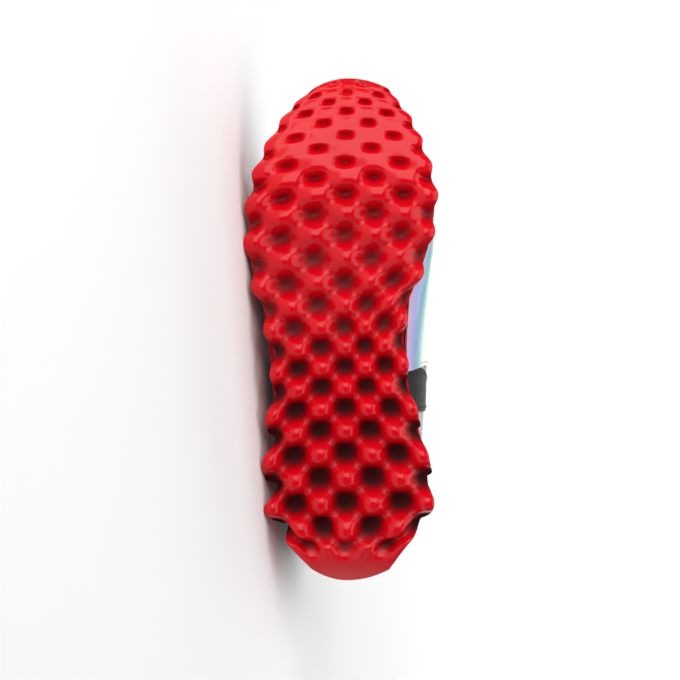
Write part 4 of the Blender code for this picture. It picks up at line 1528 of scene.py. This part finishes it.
@dataclass
class Tongue:
    """The padded tongue under the laces."""

    finishes: Finishes
    thickness: float = 0.004
    wall_gap: float = 0.0023
    crown: float = 0.10
    tab: float = 0.030
    dip: float = 0.0015
    dip_from: float = 0.66
    dip_over: float = 0.10
    levels: tuple[float, ...] = (0.79, 0.84, 0.9, 0.95, 1.0)
    stations: tuple[float, float, int] = (0.5, 0.77, 24)
    tab_steps: tuple[float, float, int] = (0.08, 1.0, 14)
    bridge_points: int = 7
    edge_radius: float = 0.0016
    tab_rows: tuple[tuple[float, float, float], ...] = (
        (0.25, 0.86, 0.015),
        (0.60, 0.80, 0.060),
        (0.88, 0.70, 0.120),
        (1.00, 0.50, 0.144),
    )

    @staticmethod
    def chain(station: float, distance: float, levels: np.ndarray, middle: int, crown: float) -> np.ndarray:
        """Give points up one wing of the throat, over it in an arch and down the other wing."""
        lateral = LAST_FORM.point(station, levels, distance)
        medial = LAST_FORM.point(2 - station, levels, distance)[::-1]
        share = (np.arange(middle) + 1)[:, None] / (middle + 1)
        bridge = (1 - share) * lateral[-1] + share * medial[0]
        width = np.linalg.norm(medial[0] - lateral[-1])
        bridge[:, 2] += 4 * (share * (1 - share))[:, 0] * crown * width
        return np.concatenate([lateral, bridge, medial])

    def build(self) -> bpy.types.Object:
        """Build the tongue and hand it over."""
        levels = np.array(self.levels)
        rows = []
        for station in np.linspace(*self.stations):
            dip = self.dip * min(max((station - self.dip_from) / self.dip_over, 0), 1)
            rows.append(
                self.chain(station, -(self.wall_gap + dip), levels, self.bridge_points, self.crown)
            )
        centre = [row.mean(axis=0) for row in (rows[0], rows[2])]
        direction = (centre[0] - centre[1]) / np.linalg.norm(centre[0] - centre[1])
        base = rows[0]
        knots = [0.0] + [row[0] for row in self.tab_rows]
        narrow = [1.0] + [row[1] for row in self.tab_rows]
        rise = [0.0] + [row[2] for row in self.tab_rows]
        for share in np.linspace(*self.tab_steps):
            move = self.tab * (share * direction + np.array([0, 0, smooth_through(knots, rise, share)]))
            row = base + move
            width = float(smooth_through(knots, narrow, share))
            row[:, 1] = centre[0][1] + width * (row[:, 1] - centre[0][1])
            rows.insert(0, row)
        sheet = Sheet.of(np.array(rows))
        obj = Bench.sheet("tongue_pad", sheet, self.finishes.white_mesh)
        Bench.thicken(obj, self.thickness, False, inside=self.finishes.lining)
        soften = obj.modifiers.new("soften", "BEVEL")
        soften.width = self.edge_radius
        soften.segments = 3
        soften.limit_method = "ANGLE"
        Bench.bake(obj)
        return Bench.fit(obj, "white_mesh", "tongue")


@dataclass
class Lacing:
    """Eyelets and the lace that runs through them."""

    finishes: Finishes
    rows: int = 6
    level: float = 0.92
    first: float = 0.515
    last: float = 0.68
    ring: float = 0.0027
    wire: float = 0.0008
    overlay_top: float = 0.0018
    lace_width: float = 0.0065
    lace_thickness: float = 0.0014
    lace_crown: float = 0.12
    bridge_points: int = 9
    lift: float = 0.0003
    dive: float = 0.0002
    pinch: float = 0.008
    bar_rows: int = 48
    bar_turns: int = 16

    def stations(self) -> np.ndarray:
        """Give the stations of the eyelet pairs, the one nearest the toe first."""
        return np.linspace(self.last, self.first, self.rows)

    def build(self, eyelets: EyeletPattern) -> None:
        """Build the eyelets and the lace."""
        self._eyelets(eyelets)
        self._lace()

    def _eyelets(self, pattern: EyeletPattern) -> None:
        """Set a ring and the dark disc of painted shade in its hole at each place."""
        places, facings, nodes = [], [], []
        for number, station in enumerate(self.stations(), 1):
            for name, place in (("lateral", station), ("medial", 2 - station)):
                places.append(LAST_FORM.point(place, self.level, self.overlay_top + self.wire))
                facings.append(RESTING.direction(LAST_FORM.normal(np.float64(place), np.float64(self.level))))
                nodes.append(f"eyelet_{name}_{number}")
        obj = Bench.mesh("eyelets", np.array(places), [], None)
        facing = obj.data.attributes.new("facing", "FLOAT_VECTOR", "POINT")
        facing.data.foreach_set("vector", np.array(facings, np.float32).ravel())
        pattern.run(
            obj,
            {
                "Ring Radius": self.ring,
                "Wire Radius": self.wire,
                "Ring": self.finishes.metal,
                # Painted shade: the near-black disc material inside each eyelet.
                "Hole_Shade": self.finishes.hole_shade,
            },
        )
        Bench.outwards(obj)
        Bench.fit(obj, "silver_metal", *nodes)

    def _lace(self) -> None:
        """Run a bar of lace from each lateral eyelet over the tongue to its medial one."""
        points, faces, corners = [], [], []
        for station in self.stations():
            self._bar(float(station), points, faces, corners)
        obj = Bench.mesh("lace", np.array(points), faces, self.finishes.lace, corners)
        Bench.outwards(obj)
        Bench.fit(obj, "lace_cord", *(f"lace_bar_{number}" for number in range(1, self.rows + 1)))

    def _bar(
        self,
        station: float,
        points: list[np.ndarray],
        faces: list[tuple[int, ...]],
        corners: list[tuple[float, float]],
    ) -> None:
        """Add one bar of lace to the lists."""
        height = self.overlay_top + 2 * self.wire + self.lift
        levels = np.array((self.level - 0.004, self.level + 0.02, 0.97, 1.0))
        path = Tongue.chain(station, height, levels, self.bridge_points, self.lace_crown)
        low = self.overlay_top - self.dive
        dives = [LAST_FORM.point(end, self.level, low) for end in (station, 2 - station)]
        path = np.concatenate([[dives[0]], path, [dives[1]]])
        lengths = np.concatenate([[0], np.cumsum(np.linalg.norm(np.diff(path, axis=0), axis=1))])
        fine = np.linspace(0, lengths[-1], self.bar_rows)
        path = np.stack([smooth_through(lengths, path[:, axis], fine) for axis in range(3)], -1)
        along = LAST_FORM.smooth_point(station + 0.01, 1.0) - LAST_FORM.smooth_point(station - 0.01, 1.0)
        along[1] = 0
        along /= np.linalg.norm(along)
        turns = np.linspace(0, 2 * math.pi, self.bar_turns, endpoint=False)
        start = len(points)
        for i, (place, distance) in enumerate(zip(path, fine)):
            tangent = path[min(i + 1, len(path) - 1)] - path[max(i - 1, 0)]
            tangent /= np.linalg.norm(tangent)
            up = np.cross(along, tangent)
            up *= np.sign(up[2]) if abs(up[2]) > 1e-6 else 1
            up /= np.linalg.norm(up)
            ends = min(distance, fine[-1] - distance)
            share = float(ease(np.array(ends), 0.0, self.pinch))
            half_wide = (0.55 + 0.45 * share) * self.lace_width / 2
            half_thick = (1.25 - 0.25 * share) * self.lace_thickness / 2
            for turn in turns:
                wide = math.copysign(abs(math.cos(turn)) ** 0.5, math.cos(turn)) * half_wide
                thick = math.copysign(abs(math.sin(turn)) ** 0.7, math.sin(turn)) * half_thick
                points.append(place + wide * along + (thick + self.lace_thickness / 2) * up)
        size = len(turns)
        for i in range(len(path) - 1):
            for j in range(size):
                k = (j + 1) % size
                ring = ((i, j), (i + 1, j), (i + 1, k), (i, k))
                faces.append(tuple(start + a * size + b for a, b in ring))
                across = [math.cos(turns[b]) * self.lace_width / 2 for _, b in ring]
                corners.extend((float(fine[a]), value) for (a, _), value in zip(ring, across))
        for row in (range(size), range((len(path) - 1) * size + size - 1, (len(path) - 1) * size - 1, -1)):
            faces.append(tuple(start + k for k in row))
            corners.extend([(0.0, 0.0)] * size)


@dataclass
class Stitching:
    """The sewing that holds the panels."""

    stitches: StitchPattern
    pitch: float = 0.0032
    length: float = 0.0024
    radius: float = 0.00032

    def sew(self, name: str, lines: Iterable[np.ndarray], thread: bpy.types.Material) -> None:
        """Sew along lines given in the row's frame."""
        points: list[Sequence[float]] = []
        edges: list[tuple[int, int]] = []
        for line in lines:
            start = len(points)
            points.extend(tuple(point) for point in line)
            edges.extend((start + i, start + i + 1) for i in range(len(line) - 1))
        if not edges:
            log.warning("%s has no lines", name)
            return
        mesh = bpy.data.meshes.new(name)
        mesh.from_pydata(points, edges, [])
        obj = place_in_scene(name, mesh)
        self.stitches.run(
            obj,
            {
                "Pitch": self.pitch,
                "Stitch Length": self.length,
                "Thread Radius": self.radius,
                "Thread": thread,
            },
        )
        for vertex in obj.data.vertices:
            vertex.co.z = max(vertex.co.z, 0)
        Bench.fit(obj, "lace_cord")


@dataclass(frozen=True)
class SoftBox:
    """A rectangular lamp."""

    name: str
    place: Vector
    towards: Vector
    size: tuple[float, float]
    power: float


@dataclass
class Studio:
    """Paper, lights and the camera."""

    finishes: Finishes
    distance: float = 1.10
    frame_width: float = 0.3984
    target: tuple[float, float, float] = (0.1428, -0.003, 0.004)
    eye: tuple[float, float] = (0.1428, 0.060)
    paper_front: float = -2.6
    paper_bend: float = 2.2
    paper_radius: float = 0.8
    paper_top: float = 3.6
    paper_half_width: float = 3.0
    paper_steps: int = 12
    room_light: float = 0.10

    def build(self) -> None:
        """Set up the studio."""
        self._paper()
        self._camera()
        self._lights()

    def _paper(self) -> None:
        """Roll out white paper that curves up behind the shoe."""
        bend, radius = self.paper_bend, self.paper_radius
        profile = [(self.paper_front, 0.0), (bend, 0.0)]
        for i in range(1, self.paper_steps + 1):
            angle = math.pi / 2 * i / self.paper_steps
            profile.append((bend + radius * math.sin(angle), radius - radius * math.cos(angle)))
        profile.append((bend + radius, self.paper_top))
        points = [(x, y, z) for x in (-self.paper_half_width, self.paper_half_width) for y, z in profile]
        size = len(profile)
        faces = [(i, i + 1, i + 1 + size, i + size) for i in range(size - 1)]
        mesh = bpy.data.meshes.new("studio_paper")
        mesh.from_pydata(points, [], [face[::-1] for face in faces])
        mesh.materials.append(self.finishes.paper)
        mesh.shade_smooth()
        place_in_scene("studio_paper", mesh)

    def _camera(self) -> None:
        """Look at the sole from a little to its medial side, with the toe at the top of the frame."""
        data = bpy.data.cameras.new("camera")
        camera = place_in_scene("camera", data)
        eye = RESTING.place((*self.eye, self.target[2] - self.distance))
        target = RESTING.place(self.target)
        forward = (target - eye).normalized()
        right = forward.cross(RESTING.direction((1, 0, 0))).normalized()
        up = right.cross(forward)
        turn = Matrix((right, up, -forward)).transposed().to_4x4()
        camera.matrix_world = Matrix.Translation(eye) @ turn
        data.sensor_width = 36
        data.lens = 36 * (target - eye).length / self.frame_width
        data.clip_start = 0.01
        data.clip_end = 20
        bpy.context.scene.camera = camera

    def _hang(self, box: SoftBox) -> None:
        """Hang a soft box."""
        data = bpy.data.lights.new(box.name, "AREA")
        data.shape = "RECTANGLE"
        data.size, data.size_y = box.size
        data.energy = box.power
        lamp = place_in_scene(box.name, data)
        lamp.location = box.place
        lamp.rotation_euler = (box.towards - box.place).to_track_quat("-Z", "Y").to_euler()

    def _lights(self) -> None:
        """Light the sole from the toe, the heel and above, and the paper behind it."""
        middle = RESTING.place(self.target)
        toe = RESTING.direction((1, 0, 0))
        out = RESTING.direction((0, 0, -1))
        high = Vector((0, 0, 1))
        by_toe = middle + 0.9 * toe + 0.9 * out + 0.25 * high
        by_heel = middle - 1.0 * toe + 0.6 * out + 0.3 * high
        self._hang(SoftBox("toe_box", by_toe, middle, (1.4, 1.1), 14.5))
        self._hang(SoftBox("heel_box", by_heel, middle, (1.2, 1.0), 1.5))
        self._hang(SoftBox("over_box", Vector((0, 0.1, 1.5)), Vector((0, 0.1, 0)), (2.4, 1.6), 19))
        self._hang(SoftBox("paper_box", Vector((0, 1.7, 2.0)), Vector((0, 3.0, 0.9)), (4.0, 0.8), 90))
        world = bpy.data.worlds.new("studio")
        bpy.context.scene.world = world
        world.use_nodes = True
        room = world.node_tree.nodes["Background"]
        room.inputs["Color"].default_value = (1, 1, 1, 1)
        room.inputs["Strength"].default_value = self.room_light
        bpy.context.scene.view_settings.view_transform = "Standard"


@dataclass
class Shoe:
    """The whole trainer."""

    finishes: Finishes
    stitch_inset: float = 0.0022
    lasting: float = -0.035
    band_thickness: float = 0.0009
    stitch_height: float = 0.0016

    def overlays(self) -> list[Overlay]:
        """List the panels over the upper."""
        made = self.finishes
        panel = ((43, -40), (42.5, 20), (40.5, 52), (42.5, 62), (54, 48), (63, 34), (67, 18), (69, -40))
        band = (
            (34, -40), (33.2, 10), (33.5, 40), (36.0, 58),
            (40.3, 58), (40.0, 40), (41.9, 10), (42.4, -40),
        )
        counter = ((-4, -20), (26, -20), (24, 14), (17, 34), (9, 52), (3, 60), (-4, 62))
        cap = ((81, -40), (82.5, 0), (86, 15), (91, 24), (96, 28), (104, 29), (104, -40))
        stay = (
            (33, 96), (35, 79), (41, 69), (48, 60), (56, 49), (65, 37),
            (72, 33), (76, 38), (77, 60), (60, 120), (36, 130),
        )
        feet = {Side.LATERAL: Overlay.foot, Side.MEDIAL: self.lasting}
        panels = [
            Overlay("heel_counter_leather", counter, made.black_leather, "black_leather", ("heel_counter",)),
            Overlay("toe_cap_leather", cap, made.white_leather, "white_mesh", ("toe_cap",)),
            Overlay("eyestay_leather", stay, made.white_leather, "white_mesh", ("eyestay",)),
        ]
        for side, foot in feet.items():
            word = side.name.lower()
            panels.append(
                Overlay(
                    f"side_film_{word}", panel, made.film, "iridescent_film",
                    (f"side_panel_{word}",), (side,), foot=foot,
                )
            )
        for side, foot in feet.items():
            panels.append(
                Overlay(
                    f"quarter_band_{side.name.lower()}", band, made.black_leather, "black_leather",
                    (), (side,), thickness=self.band_thickness, foot=foot,
                )
            )
        return panels

    def build(self) -> None:
        """Build every piece in order."""
        Outsole(self.finishes).build()
        Midsole(self.finishes).build()
        SockLiner(self.finishes).build()
        Upper(self.finishes).build()
        overlays = self.overlays()
        for overlay in overlays:
            overlay.build()
        Tongue(self.finishes).build()
        Lacing(self.finishes).build(EyeletPattern())
        probe = Probe(self.stitch_height)
        stitching = Stitching(StitchPattern())
        dark, pale = [], []
        for overlay in overlays:
            lines = overlay.stitch_lines(probe, self.stitch_inset)
            if overlay.material == self.finishes.black_leather:
                dark += lines
            else:
                pale += lines
        stitching.sew("pale_stitches", pale, self.finishes.pale_thread)
        stitching.sew("dark_stitches", dark, self.finishes.dark_thread)


def main() -> None:
    """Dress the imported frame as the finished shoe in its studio."""
    logging.basicConfig(level=logging.INFO, format="%(name)s: %(message)s")
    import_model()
    finishes = Finishes()
    Shoe(finishes).build()
    Studio(finishes).build()
    bpy.context.view_layer.update()


if __name__ == "__main__":
    main()
